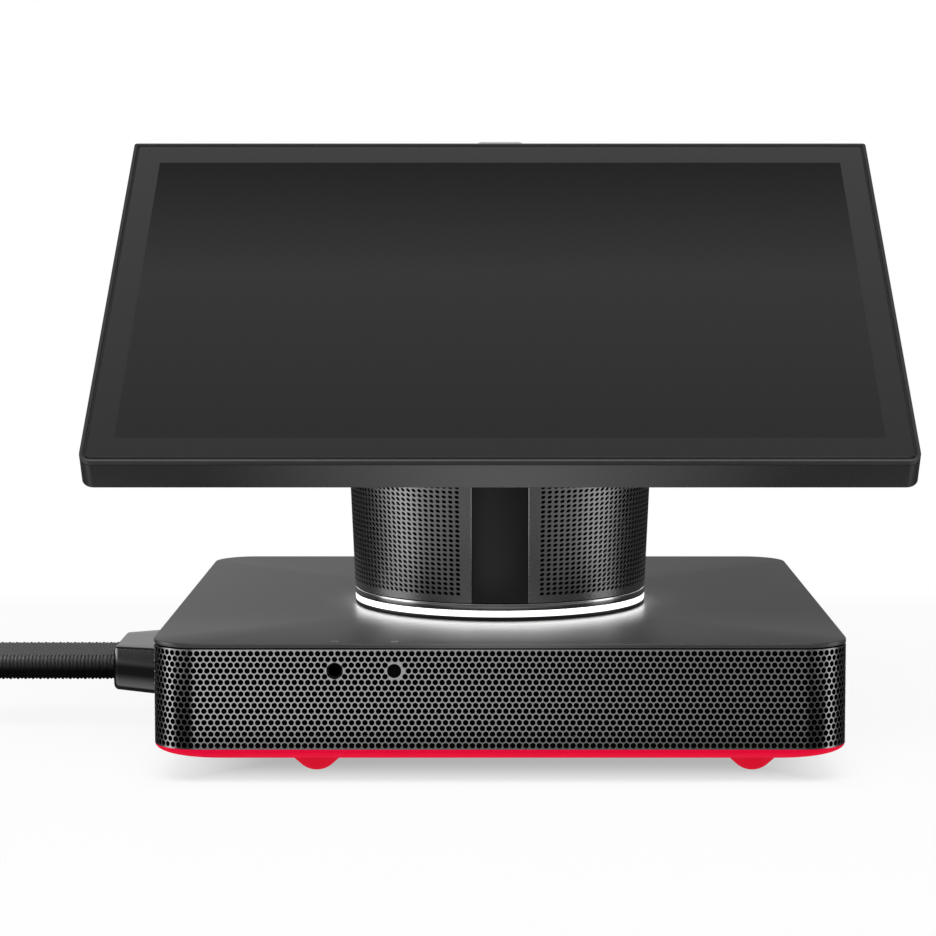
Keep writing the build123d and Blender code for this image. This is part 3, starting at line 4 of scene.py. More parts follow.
import bpy
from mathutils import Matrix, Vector


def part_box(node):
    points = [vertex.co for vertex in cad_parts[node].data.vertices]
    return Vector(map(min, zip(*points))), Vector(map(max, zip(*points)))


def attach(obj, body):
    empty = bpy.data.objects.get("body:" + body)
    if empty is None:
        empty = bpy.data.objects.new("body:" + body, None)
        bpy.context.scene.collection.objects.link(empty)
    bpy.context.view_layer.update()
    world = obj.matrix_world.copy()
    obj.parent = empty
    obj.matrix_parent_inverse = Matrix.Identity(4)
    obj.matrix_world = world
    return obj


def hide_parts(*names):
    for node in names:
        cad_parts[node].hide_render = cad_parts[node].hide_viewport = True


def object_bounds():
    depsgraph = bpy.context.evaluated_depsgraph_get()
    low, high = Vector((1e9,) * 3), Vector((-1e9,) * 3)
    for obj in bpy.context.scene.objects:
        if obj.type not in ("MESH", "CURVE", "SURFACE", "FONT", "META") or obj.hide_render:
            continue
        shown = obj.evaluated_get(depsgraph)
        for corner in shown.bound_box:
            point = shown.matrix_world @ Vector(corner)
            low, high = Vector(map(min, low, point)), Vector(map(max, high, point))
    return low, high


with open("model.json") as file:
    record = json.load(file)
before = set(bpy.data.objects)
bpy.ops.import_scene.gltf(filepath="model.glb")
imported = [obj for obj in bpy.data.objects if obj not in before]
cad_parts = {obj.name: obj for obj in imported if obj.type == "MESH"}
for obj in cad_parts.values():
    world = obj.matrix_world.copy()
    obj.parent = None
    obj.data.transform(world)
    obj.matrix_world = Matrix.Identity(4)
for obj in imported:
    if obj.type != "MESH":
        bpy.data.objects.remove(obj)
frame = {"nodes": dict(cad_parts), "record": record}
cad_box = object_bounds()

# Looks for the smart display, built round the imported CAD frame. Metres, +Z up, +Y away from the viewer.
MM = 0.001
SMOOTH_BELOW = radians(32)      # edges flatter than this are shaded smooth
scene = bpy.context.scene

# -------------------- sizes the boxes don't give
BASE_CORNER = 13.0 * MM
HOLES_ROUND_BASE = 404          # holes in one row, all the way round the base
BASE_HOLE_R = 0.79 * MM
BASE_SHEET = 0.5 * MM
BAND_TOP_GAP = 0.07 * MM        # fine line between the band and the deck
CLOTH = 0.35 * MM
CLOTH_GAP = 0.02 * MM
JACK_OPENING_R = 2.285 * MM
BUTTON_OPENING_R = 1.95 * MM
CONTROL_ROW = 3                 # the controls sit on the fourth row of holes
BASE_ROWS = 17
OUTLET = Vector((30.4, 11.4)) * MM    # opening in the base's left side for the cable boot
DECK_HOLE_R = 40.0 * MM
DECK_EASE, DECK_UNDER_EASE = 0.3 * MM, 0.15 * MM
MARK_SIZE, MARK_LINE, MARK_HEIGHT = 0.8 * MM, 0.26 * MM, 0.03 * MM
MARK_FROM_EDGE = 3.8 * MM       # marks on the deck, from its front edge

NECK_SHEET = 0.5 * MM
NECK_COLUMNS = 60
NECK_ROW_PITCH = 1.405 * MM
NECK_FIRST_ROW = 2.6 * MM       # from the grille's lower edge up to the first row of holes
FIRST_COLUMN = 12.2 * MM        # from the neck's front, round to the first column of holes
STRIP_EDGE_X = 8.2 * MM
# Rings at the neck's foot: CAD node, material slot, wall, eased edge and bulge.
RINGS = {
    "foot_trim": ("trim_ring", "black_trim", 4.0 * MM, 0.12 * MM, 0.0),
    "glow_ring": ("light_ring", "lit_diffuser", 2.6 * MM, 0.06 * MM, 0.05 * MM),
    "brushed_band": ("neck_band", "band_metal", 4.1 * MM, 0.15 * MM, 0.0),
}
# Half length and half width in millimetres and lean in degrees: at the strips, and what the sides add.
NECK_HOLE = (0.56, 0.49, 8)
NECK_HOLE_GAIN = (0.30, -0.06, 27)
NECK_HOLE_SETTLED = radians(45)   # from here round to the side the holes stay the same

DISPLAY_BOTTOM_CORNER = 3.6 * MM
DISPLAY_TOP_CORNER = 1.0 * MM
RIM_WIDTH = 1.05 * MM
RIM_LEDGE = 4.2 * MM            # how far the rim reaches in behind the glass
GLASS_CHAMFER = 0.45 * MM
ACTIVE_WIDTH = 216.96 * MM
ACTIVE_HEIGHT = 135.6 * MM
ACTIVE_BOTTOM = 9.9 * MM
BAR_STEM_HALF = 5.0 * MM
BAR_END_SLOPE = 0.8 * MM

STRAND_PITCH = 1.13 * MM        # along the cable
STRAND_RELIEF = 0.45 * MM
STRAND_LEAN = 0.14              # along the cable for each step across its wide faces
KNOTS_ROUND_CABLE = 22
CABLE_CORNER = 1.5 * MM
CABLE_SPREAD = (1.2 * MM, 0.95 * MM)  # what the sleeve adds to the CAD cable's front and underside
# Lowest y, highest y, lowest z and highest z of the boot where it leaves the base, and at its end.
BOOT_ROOT = (-15.5, 30.0, 5.9, 20.4)
BOOT_END = (-4.3, 24.0, 6.2, 19.6)
BOOT_CORNERS = (2.6 * MM, 2.6 * MM, 0.7 * MM, 0.7 * MM)
BOOT_ROUND = 1.3 * MM
BOOT_BULGE = 0.06

# -------------------- tones and glow
WHITE = (1.0, 1.0, 1.0, 1.0)
GLOSS_DRIFT = 0.02
BORDER_PRINT_AND_PAINTED_REFLECTION = (0.033, 0.049)   # the glass's printed border, from its foot to its head; lighter towards its head as a painted reflection
WINDOW_TONE_AND_PAINTED_REFLECTION = (0.0245, 0.034, 0.006)   # the window at its foot, a little above its middle, and its head; the change up the face is a painted reflection
# Where the window's painted reflection is brightest, as a share of the face's height.
WINDOW_REFLECTION_MIDDLE_AT = 0.55
RING_AS_LAMP = 16.0             # the lit ring's strength as a light
RING_MIRRORED = 6.0             # as other pieces mirror it
RING_SEEN = 1.1                 # as the camera sees it
# Each ramp is the values it starts and ends at, then what it gives at its start and end.
SPILL_ON_METAL = (-1.0 * MM, 6.0 * MM, 1.5, 0.0)    # by height over the foot of the brushed band
POOL_START = (51 * MM, 58 * MM, 0.0, 1.0)           # on the deck, by distance from the neck's axis
POOL_FADE = (60 * MM, 90 * MM, 0.24, 0.04)
POOL_AHEAD = (-60 * MM, -30 * MM, 1.0, 0.0)         # by y
POOL_ASIDE = (4 * MM, 44 * MM, 1.0, 0.0)            # by distance to either side
SPILL_ON_HOUSING = (0.0, 100 * MM, 0.062, 0.0)      # by distance to either side
HOUSING_FACING = (0.8, 0.98, 0.0, 1.0)              # by how squarely a face looks down the display
BOOT_FLANK = (10.4 * MM, 15.2 * MM)                 # heights between which the boot is duller
BOOT_EASE = 1.5 * MM
EDGE_GLOSS, FLANK_GLOSS = 0.9, 0.06
BRAID_STRANDS = (0.6, -0.9, 0.3, 1.0)   # painted light by the wave across a strand: lighter on the crests, painted shade in the valleys
BRAID_CRESTS = (0.44, 0.53, 0.0, 1.0)   # gloss by how far the surface stands out
BRAID_SHADED, BRAID_LIT = -1.5 * MM, -0.3 * MM  # heights of the braid's painted top light: where it starts, from the cable's mid-height, and where it is full, from its top


# -------------------- materials
def feed(tree, node, inputs):
    """Gives inputs of a node their values, or links sockets to them."""
    for key, value in inputs.items():
        if isinstance(value, bpy.types.NodeSocket):
            tree.links.new(value, node.inputs[key])
        else:
            node.inputs[key].default_value = value


def wire(tree, kind, inputs=(), **settings):
    """Adds a shader node; an input is given a value, or a socket to link."""
    node = tree.nodes.new("ShaderNode" + kind)
    for name, value in settings.items():
        setattr(node, name, value)
    feed(tree, node, dict(inputs))
    return node


def calc(tree, operation, *values):
    """Socket with the result of a math node."""
    return wire(tree, "Math", enumerate(values), operation=operation).outputs[0]


def product(tree, first, *others):
    for other in others:
        first = calc(tree, "MULTIPLY", first, other)
    return first


def ramp(tree, value, start, end, low, high, kind="SMOOTHSTEP"):
    """Socket that eases from low to high as the value goes from start to end."""
    return wire(tree, "MapRange", {
        "Value": value, "From Min": start, "From Max": end, "To Min": low, "To Max": high},
        interpolation_type=kind).outputs["Result"]


def mixed_value(tree, factor, first, second):
    return wire(tree, "Mix", {"Factor": factor, "A": first, "B": second}).outputs["Result"]


def mixed_colour(tree, factor, first, second):
    return wire(tree, "Mix", {"Factor": factor, 6: first, 7: second}, data_type="RGBA").outputs[2]


def place_in(tree):
    """Socket with a point's place in the object's frame, which is the CAD frame."""
    return wire(tree, "TexCoord").outputs["Object"]


def axes(tree, vector):
    """Sockets with the X, Y and Z of a vector."""
    return tuple(wire(tree, "SeparateXYZ", {"Vector": vector}).outputs)


def length(tree, vector):
    return wire(tree, "VectorMath", {0: vector}, operation="LENGTH").outputs["Value"]


def dot(tree, first, second):
    return wire(tree, "VectorMath", {0: first, 1: second}, operation="DOT_PRODUCT").outputs["Value"]


def noise(tree, vector, scale, detail=2.0):
    """Socket with a noise texture's 0 to 1 factor."""
    return wire(tree, "TexNoise", {"Vector": vector, "Scale": scale, "Detail": detail}).outputs["Fac"]


def bump(tree, height, distance):
    return wire(tree, "Bump", {"Height": height, "Strength": 1.0, "Distance": distance}).outputs["Normal"]


def ray_is(tree, kind):
    """Socket that is 1 for rays of a kind: Camera, Diffuse or Glossy."""
    return wire(tree, "LightPath").outputs[f"Is {kind} Ray"]


def blank_material(name):
    """A new material with a Principled shader, and its node tree."""
    material = bpy.data.materials.new(name)
    material.use_nodes = True
    return material, material.node_tree


def shade(material, inputs):
    """Sets inputs of a material's Principled shader and returns the material."""
    feed(material.node_tree, material.node_tree.nodes["Principled BSDF"], inputs)
    return material


def give_off(material, strength):
    """Lets a material give off white light of a strength given by a value or a socket."""
    return shade(material, {"Emission Strength": strength, "Emission Color": WHITE})


def tone(tree, colour, spread, factor):
    """A colour that drifts by a share either way with a 0 to 1 factor."""
    blend = wire(tree, "ValToRGB", {"Fac": factor})
    for element, share in zip(blend.color_ramp.elements, (1 - spread, 1 + spread)):
        element.color = [min(c * share, 1.0) for c in colour] + [1.0]
    return blend.outputs["Color"]


def finish(name, colour, roughness, grain, relief, metallic=0.0,
           specular=0.5, spread=0.06, stretch=(1, 1, 1)):
    """A moulded, painted or rolled finish: colour drift, grain in millimetres and relief in millimetres."""
    material, tree = blank_material(name)
    stretched = wire(tree, "Mapping", {"Vector": place_in(tree), "Scale": stretch}).outputs["Vector"]
    fine = noise(tree, stretched, 1 / (grain * MM))
    return shade(material, {
        "Base Color": tone(tree, colour, spread, noise(tree, stretched, 60.0, 3.0)),
        "Roughness": ramp(tree, fine, 0.3, 0.7, roughness - GLOSS_DRIFT, roughness + GLOSS_DRIFT, "LINEAR"),
        "Normal": bump(tree, fine, relief * MM),
        "Metallic": metallic,
        "Specular IOR Level": specular})


def ring_brushed(name, colour, roughness):
    """Metal brushed round the neck: fine lines in height, and stretched highlights."""
    material, tree = blank_material(name)
    x, y, z = axes(tree, place_in(tree))
    line = wire(tree, "CombineXYZ", {"X": calc(tree, "ARCTAN2", y, x), "Y": z}).outputs[0]
    lines = wire(tree, "Mapping", {"Vector": line, "Scale": (6.0, 9000.0, 1.0)}).outputs[0]
    brushed = noise(tree, lines, 1.0)
    return shade(material, {
        "Base Color": tone(tree, colour, 0.12, brushed),
        "Normal": bump(tree, brushed, 0.004 * MM),
        "Tangent": wire(tree, "Tangent", direction_type="RADIAL", axis="Z").outputs["Tangent"],
        "Metallic": 1.0, "Roughness": roughness, "Anisotropic": 0.6})


def glowing(name, colour):
    """A lit diffuser: frosted, and a little brighter in patches where the lamps sit."""
    material = finish(name, colour, 0.45, 0.4, 0.002)
    tree = material.node_tree
    patches = noise(tree, place_in(tree), 90.0)
    glow = ramp(tree, patches, 0.0, 1.0, RING_AS_LAMP * 0.9, RING_AS_LAMP * 1.1, "LINEAR")
    # The camera sees it just past white, so that its edges stay crisp, and reflections of it stay soft.
    mirrored = mixed_value(tree, ray_is(tree, "Glossy"), glow, RING_MIRRORED)
    return give_off(material, mixed_value(tree, ray_is(tree, "Camera"), mirrored, RING_SEEN))


def ring_spill(material):
    """Adds the lit ring's spill on the metal just above it, for the deck to mirror."""
    tree = material.node_tree
    over_foot = calc(tree, "SUBTRACT", axes(tree, place_in(tree))[2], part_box("neck_band")[0].z)
    return give_off(material, product(tree, ramp(tree, over_foot, *SPILL_ON_METAL), ray_is(tree, "Glossy")))


def pooled(material):
    """Adds the pool of light that the lit ring throws on the deck in front of the neck."""
    tree = material.node_tree
    x, y, z = axes(tree, place_in(tree))
    reach = length(tree, wire(tree, "CombineXYZ", {"X": x, "Y": y}).outputs[0])
    return give_off(material, product(
        tree, ramp(tree, reach, *POOL_START), ramp(tree, reach, *POOL_FADE),
        ramp(tree, y, *POOL_AHEAD), ramp(tree, calc(tree, "ABSOLUTE", x), *POOL_ASIDE)))


def underlit(material):
    """Adds the lit ring's spill along the lower edge that faces it."""
    tree = material.node_tree
    facing = dot(tree, wire(tree, "TexCoord").outputs["Normal"], -up)
    aside = calc(tree, "ABSOLUTE", axes(tree, place_in(tree))[0])
    spill = product(tree, ramp(tree, facing, *HOUSING_FACING), ramp(tree, aside, *SPILL_ON_HOUSING))
    return give_off(material, spill)


def glossy_edges(material):
    """Makes the boot's flat flank duller than its rounded edges above and below."""
    tree = material.node_tree
    height = axes(tree, place_in(tree))[2]
    low, high = BOOT_FLANK
    upper = ramp(tree, height, high - BOOT_EASE, high + BOOT_EASE, FLANK_GLOSS, EDGE_GLOSS)
    lower = ramp(tree, height, low - BOOT_EASE, low + BOOT_EASE, EDGE_GLOSS, FLANK_GLOSS)
    return shade(material, {"Specular IOR Level": calc(tree, "MAXIMUM", upper, lower)})


def between(tree, value, low, high):
    """Socket that is 1 where the value lies between low and high."""
    return product(tree, calc(tree, "GREATER_THAN", value, low), calc(tree, "LESS_THAN", value, high))


def printed_glass_with_painted_reflection(name):
    """Cover glass: a dark border printed on its back round a darker window, with a painted reflection that
    changes their tone up the face.
    """
    material, tree = blank_material(name)
    place = place_in(tree)
    height = calc(tree, "SUBTRACT", dot(tree, place, up), face_foot.dot(up))
    share = calc(tree, "DIVIDE", height, face_height)
    # Painted reflection: the border and window tones change with height up the face.
    border = wire(tree, "ValToRGB", {"Fac": share})
    window = wire(tree, "ValToRGB", {"Fac": share})
    window.color_ramp.elements.new(WINDOW_REFLECTION_MIDDLE_AT)
    for blend, levels in ((border, BORDER_PRINT_AND_PAINTED_REFLECTION), (window, WINDOW_TONE_AND_PAINTED_REFLECTION)):
        for element, level in zip(blend.color_ramp.elements, levels):
            element.color = (level, level, level * 1.04, 1.0)
    inside = product(tree, between(tree, axes(tree, place)[0], -ACTIVE_WIDTH / 2, ACTIVE_WIDTH / 2),
                     between(tree, height, ACTIVE_BOTTOM, ACTIVE_BOTTOM + ACTIVE_HEIGHT))
    return shade(material, {
        "Base Color": mixed_colour(tree, inside, border.outputs["Color"], window.outputs["Color"]),
        "Roughness": ramp(tree, noise(tree, place, 35.0, 4.0), 0.0, 1.0, 0.05, 0.12, "LINEAR"),
        "Specular IOR Level": 0.25})


def moulded_red(name, colour, grain, relief):
    """Red plastic or rubber that throws only a neutral tint on the things round it."""
    material = finish(name, colour, 0.5, grain, relief, specular=0.02)
    tree = material.node_tree
    drift = tree.nodes["Principled BSDF"].inputs["Base Color"].links[0].from_socket
    neutral = (0.2, 0.2, 0.2, 1.0)
    return shade(material, {"Base Color": mixed_colour(tree, ray_is(tree, "Diffuse"), drift, neutral)})


def braided(name, dark, pale, roughness):
    """Woven sleeve with painted light: strand crests painted light and glossy towards the top, and painted
    shade below mid-height and in the valleys.
    """
    material = finish(name, dark, roughness, 0.09, 0.002, stretch=(1, 0.25, 1))
    tree = material.node_tree
    low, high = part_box("cable")
    x, y, z = axes(tree, place_in(tree))
    # Painted light: nothing at the cable's middle, rising to full near its top, where the light falls.
    painted_top_light = ramp(tree, z, (low.z + high.z) / 2 + BRAID_SHADED, high.z + BRAID_LIT, 0.0, 1.0, "LINEAR")
    phase = calc(tree, "ADD", x, product(tree, y, -STRAND_LEAN))
    wave = calc(tree, "COSINE", product(tree, phase, 2 * pi / STRAND_PITCH))
    strand = ramp(tree, wave, *BRAID_STRANDS, "LINEAR")
    form = wire(tree, "NewGeometry").outputs["Pointiness"]
    crest = ramp(tree, form, *BRAID_CRESTS, "LINEAR")
    # Painted light: the pale tone on the upper strand crests, painted shade everywhere else.
    painted_crest_light = product(tree, painted_top_light, painted_top_light, strand)
    return shade(material, {
        "Base Color": mixed_colour(tree, painted_crest_light, (*dark, 1.0), (*pale, 1.0)),
        "Specular IOR Level": product(tree, painted_top_light, crest)})


def build_materials():
    """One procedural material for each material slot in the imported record, by name."""
    made = [
        moulded_red("red_plastic", (0.93, 0.003, 0.044), 0.25, 0.001),
        moulded_red("red_rubber", (0.80, 0.002, 0.026), 0.12, 0.003),
        finish("grille_metal", (0.40, 0.40, 0.405), 0.20, 0.3, 0.0002, 1.0, spread=0.03),
        pooled(finish("deck_paint", (0.036, 0.036, 0.037), 0.37, 0.2, 0.0002, specular=0.5)),
        finish("inner_plastic", (0.0012, 0.0012, 0.0013), 0.8, 0.3, 0.01, specular=0.0),
        finish("fan_plastic", (0.02, 0.02, 0.022), 0.45, 0.2, 0.004),
        finish("circuit_board", (0.01, 0.07, 0.03), 0.4, 1.2, 0.03, spread=0.35),
        finish("cast_aluminium", (0.62, 0.63, 0.65), 0.42, 0.5, 0.012, 1.0),
        finish("steel", (0.5, 0.5, 0.51), 0.3, 0.3, 0.004, 1.0),
        finish("steel_sheet", (0.52, 0.52, 0.54), 0.35, 0.6, 0.004, 1.0, stretch=(1, 12, 1)),
        finish("spring_steel", (0.4, 0.4, 0.42), 0.28, 0.4, 0.003, 1.0),
        finish("jack_plastic", (0.004, 0.004, 0.005), 0.5, 0.2, 0.001, specular=0.2),
        finish("switch_metal", (0.5, 0.5, 0.52), 0.33, 0.4, 0.004, 1.0),
        finish("button_plastic", (0.002, 0.002, 0.0022), 0.35, 0.15, 0.001, specular=0.03),
        finish("connector_plastic", (0.7, 0.68, 0.6), 0.45, 0.4, 0.005),
        # The braid's second, pale tone is painted light on its upper strand crests.
        braided("braid", (0.004, 0.004, 0.0044), (0.19, 0.19, 0.192), 0.34),
        glossy_edges(finish("boot_plastic", (0.005, 0.005, 0.0053), 0.15, 0.2, 0.0003)),
        finish("black_trim", (0.012, 0.012, 0.013), 0.4, 0.2, 0.0005, specular=0.3),
        finish("light_diffuser", (0.56, 0.57, 0.58), 0.4, 0.2, 0.001),
        glowing("lit_diffuser", (1.0, 1.0, 1.0)),
        finish("led_flex", (0.75, 0.75, 0.72), 0.5, 0.4, 0.004),
        ring_spill(ring_brushed("band_metal", (0.34, 0.34, 0.345), 0.17)),
        finish("bush_plastic", (0.72, 0.71, 0.66), 0.5, 0.5, 0.004),
        ring_spill(finish("neck_metal", (0.25, 0.25, 0.255), 0.27, 0.3, 0.0001, 1.0, spread=0.03)),
        finish("strip_gloss", (0.012, 0.012, 0.013), 0.25, 0.3, 0.0004, specular=0.3),
        finish("cone_rubber", (0.02, 0.02, 0.02), 0.6, 0.3, 0.01),
        finish("magnet_iron", (0.2, 0.2, 0.21), 0.5, 0.8, 0.02, 1.0),
        underlit(finish("housing_plastic", (0.026, 0.026, 0.027), 0.27, 0.18, 0.0004, specular=0.35)),
        finish("harness_sleeve", (0.02, 0.02, 0.02), 0.6, 0.3, 0.05, stretch=(1, 1, 3)),
        finish("rim_metal", (0.040, 0.040, 0.041), 0.35, 0.2, 0.0005, specular=0.4),
        printed_glass_with_painted_reflection("cover_glass"),
        finish("lcd", (0.012, 0.012, 0.014), 0.3, 0.3, 0.001),
    ]
    # Blender adds a number to a name that the loaded frame already uses.
    return {material.name.partition(".")[0]: material for material in made}


# -------------------- mesh building
def piece(name, points, faces, body, slot, *nodes, smooth=SMOOTH_BELOW):
    """Adds a mesh piece that rides on a CAD body and stands for the given CAD nodes."""
    mesh = bpy.data.meshes.new(name)
    mesh.from_pydata([tuple(p) for p in points], [], faces)
    mesh.validate()
    mesh.polygons.foreach_set("use_smooth", [True] * len(mesh.polygons))
    mesh.set_sharp_from_angle(angle=smooth)
    mesh.materials.append(materials[slot])
    obj = bpy.data.objects.new(name, mesh)
    scene.collection.objects.link(obj)
    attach(obj, body)
    if nodes:
        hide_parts(*nodes)
    return obj


def bands(loop_count, size, closed=False):
    """Quads that join successive loops of equal size; closed joins the last loop to the first."""
    faces = []
    for step in range(loop_count if closed else loop_count - 1):
        here, there = step * size, (step + 1) % loop_count * size
        for k in range(size):
            n = (k + 1) % size
            faces.append((here + k, here + n, there + n, there + k))
    return faces


def lofted(name, loops, body, slot, *nodes, ring=False, smooth=SMOOTH_BELOW):
    """Skin over a list of loops: capped at both ends, or closed on itself as a ring."""
    size = len(loops[0])
    faces = bands(len(loops), size, ring)
    if not ring:
        last = (len(loops) - 1) * size
        faces.append(tuple(reversed(range(size))))
        faces.append(tuple(range(last, last + size)))
    return piece(name, [p for loop in loops for p in loop], faces, body, slot, *nodes, smooth=smooth)


def rounded_outline(width, height, radii, inset=0.0, corner_steps=8, side_steps=1):
    """Outline of a rectangle centred on the origin, anticlockwise from its lower left, drawn in by inset.
    radii are those of the lower left, lower right, upper right and upper left corners."""
    half = Vector((width / 2, height / 2))
    signs = ((-1, -1), (1, -1), (1, 1), (-1, 1))
    arcs = []
    for turn, ((sx, sy), radius) in enumerate(zip(signs, radii)):
        r = max(radius - inset, 0.25 * MM)
        centre = Vector((sx * (half.x - inset - r), sy * (half.y - inset - r)))
        start = pi + turn * pi / 2
        arcs.append([centre + r * Vector((cos(a), sin(a)))
                     for a in (start + k / corner_steps * pi / 2 for k in range(corner_steps + 1))])
    points = []
    for turn, arc in enumerate(arcs):
        points += arc
        following = arcs[(turn + 1) % 4][0]
        points += [arc[-1].lerp(following, k / side_steps) for k in range(1, side_steps)]
    return points


class Sheet:
    """A flat pattern of faces, to be bent to shape and given a thickness.
    A point has a place across, a place up, and how far the outer skin is drawn in there."""

    def __init__(self):
        self.points, self.faces, self.index = [], [], {}

    def point(self, key, across, up, drawn_in=0.0):
        if key not in self.index:
            self.index[key] = len(self.points)
            self.points.append((across, up, drawn_in))
        return self.index[key]

    def ring(self, outline, hole):
        """Quads between an outline of points already in the sheet and the same number of hole points."""
        inner = [self.point((len(self.points), "hole"), *place) for place in hole]
        count = len(outline)
        for k in range(count):
            n = (k + 1) % count
            self.faces.append((outline[k], outline[n], inner[n], inner[k]))

    def edges(self):
        """Directed edges that only one face uses."""
        used = set()
        for face in self.faces:
            for a, b in zip(face, face[1:] + face[:1]):
                used.add((a, b))
        return [(a, b) for a, b in used if (b, a) not in used]

    def solid(self, place, thickness):
        """Points and faces of the closed solid, with place(across, up, depth) giving each point."""
        count = len(self.points)
        points = [place(across, up, drawn) for across, up, drawn in self.points]
        points += [place(across, up, thickness) for across, up, drawn in self.points]
        faces = list(self.faces)
        faces += [tuple(reversed([v + count for v in face])) for face in self.faces]
        faces += [(b, a, a + count, b + count) for a, b in sorted(self.edges())]
        return points, faces


# -------------------- places read from the frame
def span(node, direction):
    """How far a CAD node reaches, lowest and highest, along a direction."""
    reach = [direction.dot(v.co) for v in frame["nodes"][node].data.vertices]
    return min(reach), max(reach)


def face_normal(node):
    """Outward normal of a node's largest face, turned to point up."""
    largest = max(frame["nodes"][node].data.polygons, key=lambda face: face.area)
    normal = largest.normal.copy()
    return normal if normal.z > 0 else -normal


def middle(node):
    low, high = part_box(node)
    return (low + high) / 2


deck_low, deck_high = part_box("deck_plate")
band_low, band_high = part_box("base_grille")
base_middle = (deck_low + deck_high) / 2
base_width, base_depth = deck_high.x - deck_low.x, deck_high.y - deck_low.y

normal = face_normal("cover_glass")
right = Vector((1, 0, 0))
up = normal.cross(right).normalized()
face_level = span("display_frame", normal)[1]
face_low, face_high = span("display_frame", up)
face_height = face_high - face_low
face_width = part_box("display_frame")[1].x * 2
face_foot = normal * face_level + up * face_low
back_level = span("display_rear_housing", normal)[0]


def on_display(across, rise, depth=0.0):
    """Point on the display's face, or depth behind it."""
    return face_foot + right * across + up * rise - normal * depth


def neck_line():
    """The neck's outer radius at its foot, the foot's height, and the radius gained per metre of height."""
    corners = frame["nodes"]["speaker_grille_left"].data.vertices
    foot_z = min(v.co.z for v in corners)
    foot_r = max(hypot(v.co.x, v.co.y) for v in corners if v.co.z < foot_z + 0.01 * MM)
    top = max(corners, key=lambda v: (round(v.co.z, 5), hypot(v.co.x, v.co.y))).co
    return foot_r, foot_z, (hypot(top.x, top.y) - foot_r) / (top.z - foot_z)


neck_foot_r, neck_foot_z, neck_flare = neck_line()


def neck_radius(z):
    return neck_foot_r + neck_flare * (z - neck_foot_z)


def neck_top(turn, depth=0.0):
    """Height where the neck's wall meets the display's back, at an angle from the neck's front."""
    base_r = neck_foot_r - neck_flare * neck_foot_z - depth
    lean = -normal.y * cos(turn)
    return (back_level - lean * base_r) / (normal.z + lean * neck_flare)


# -------------------- base
straight = (base_width - 2 * BASE_CORNER, base_depth - 2 * BASE_CORNER)
quarter = BASE_CORNER * pi / 2
perimeter = 2 * sum(straight) + 4 * quarter


def on_base_wall(along, z, depth=0.0):
    """Point on the base's upright wall: along runs anticlockwise from the middle of the front."""
    travel = (along + straight[0] / 2) % perimeter
    for turn, (sx, sy) in enumerate(((-1, -1), (1, -1), (1, 1), (-1, 1))):
        start = radians(90 * turn - 90)
        outward = Vector((cos(start), sin(start)))
        heading = Vector((-outward.y, outward.x))
        centre = Vector((base_middle.x + sx * straight[0] / 2, base_middle.y + sy * straight[1] / 2))
        side = straight[turn % 2]
        if travel <= side:
            flat = centre + outward * (BASE_CORNER - depth) + heading * travel
            return Vector((*flat, z))
        travel -= side
        if travel <= quarter:
            angle = start + travel / BASE_CORNER
            flat = centre + heading * side + Vector((cos(angle), sin(angle))) * (BASE_CORNER - depth)
            return Vector((*flat, z))
        travel -= quarter
    return on_base_wall(0.0, z, depth)


# Corners and edge middles of a hexagonal cell, anticlockwise, in quarter pitches along and sixth rows up.
CELL = ((2, 0), (2, 2), (1, 3), (0, 4), (-1, 3), (-2, 2),
        (-2, 0), (-2, -2), (-1, -3), (0, -4), (1, -3), (2, -2))


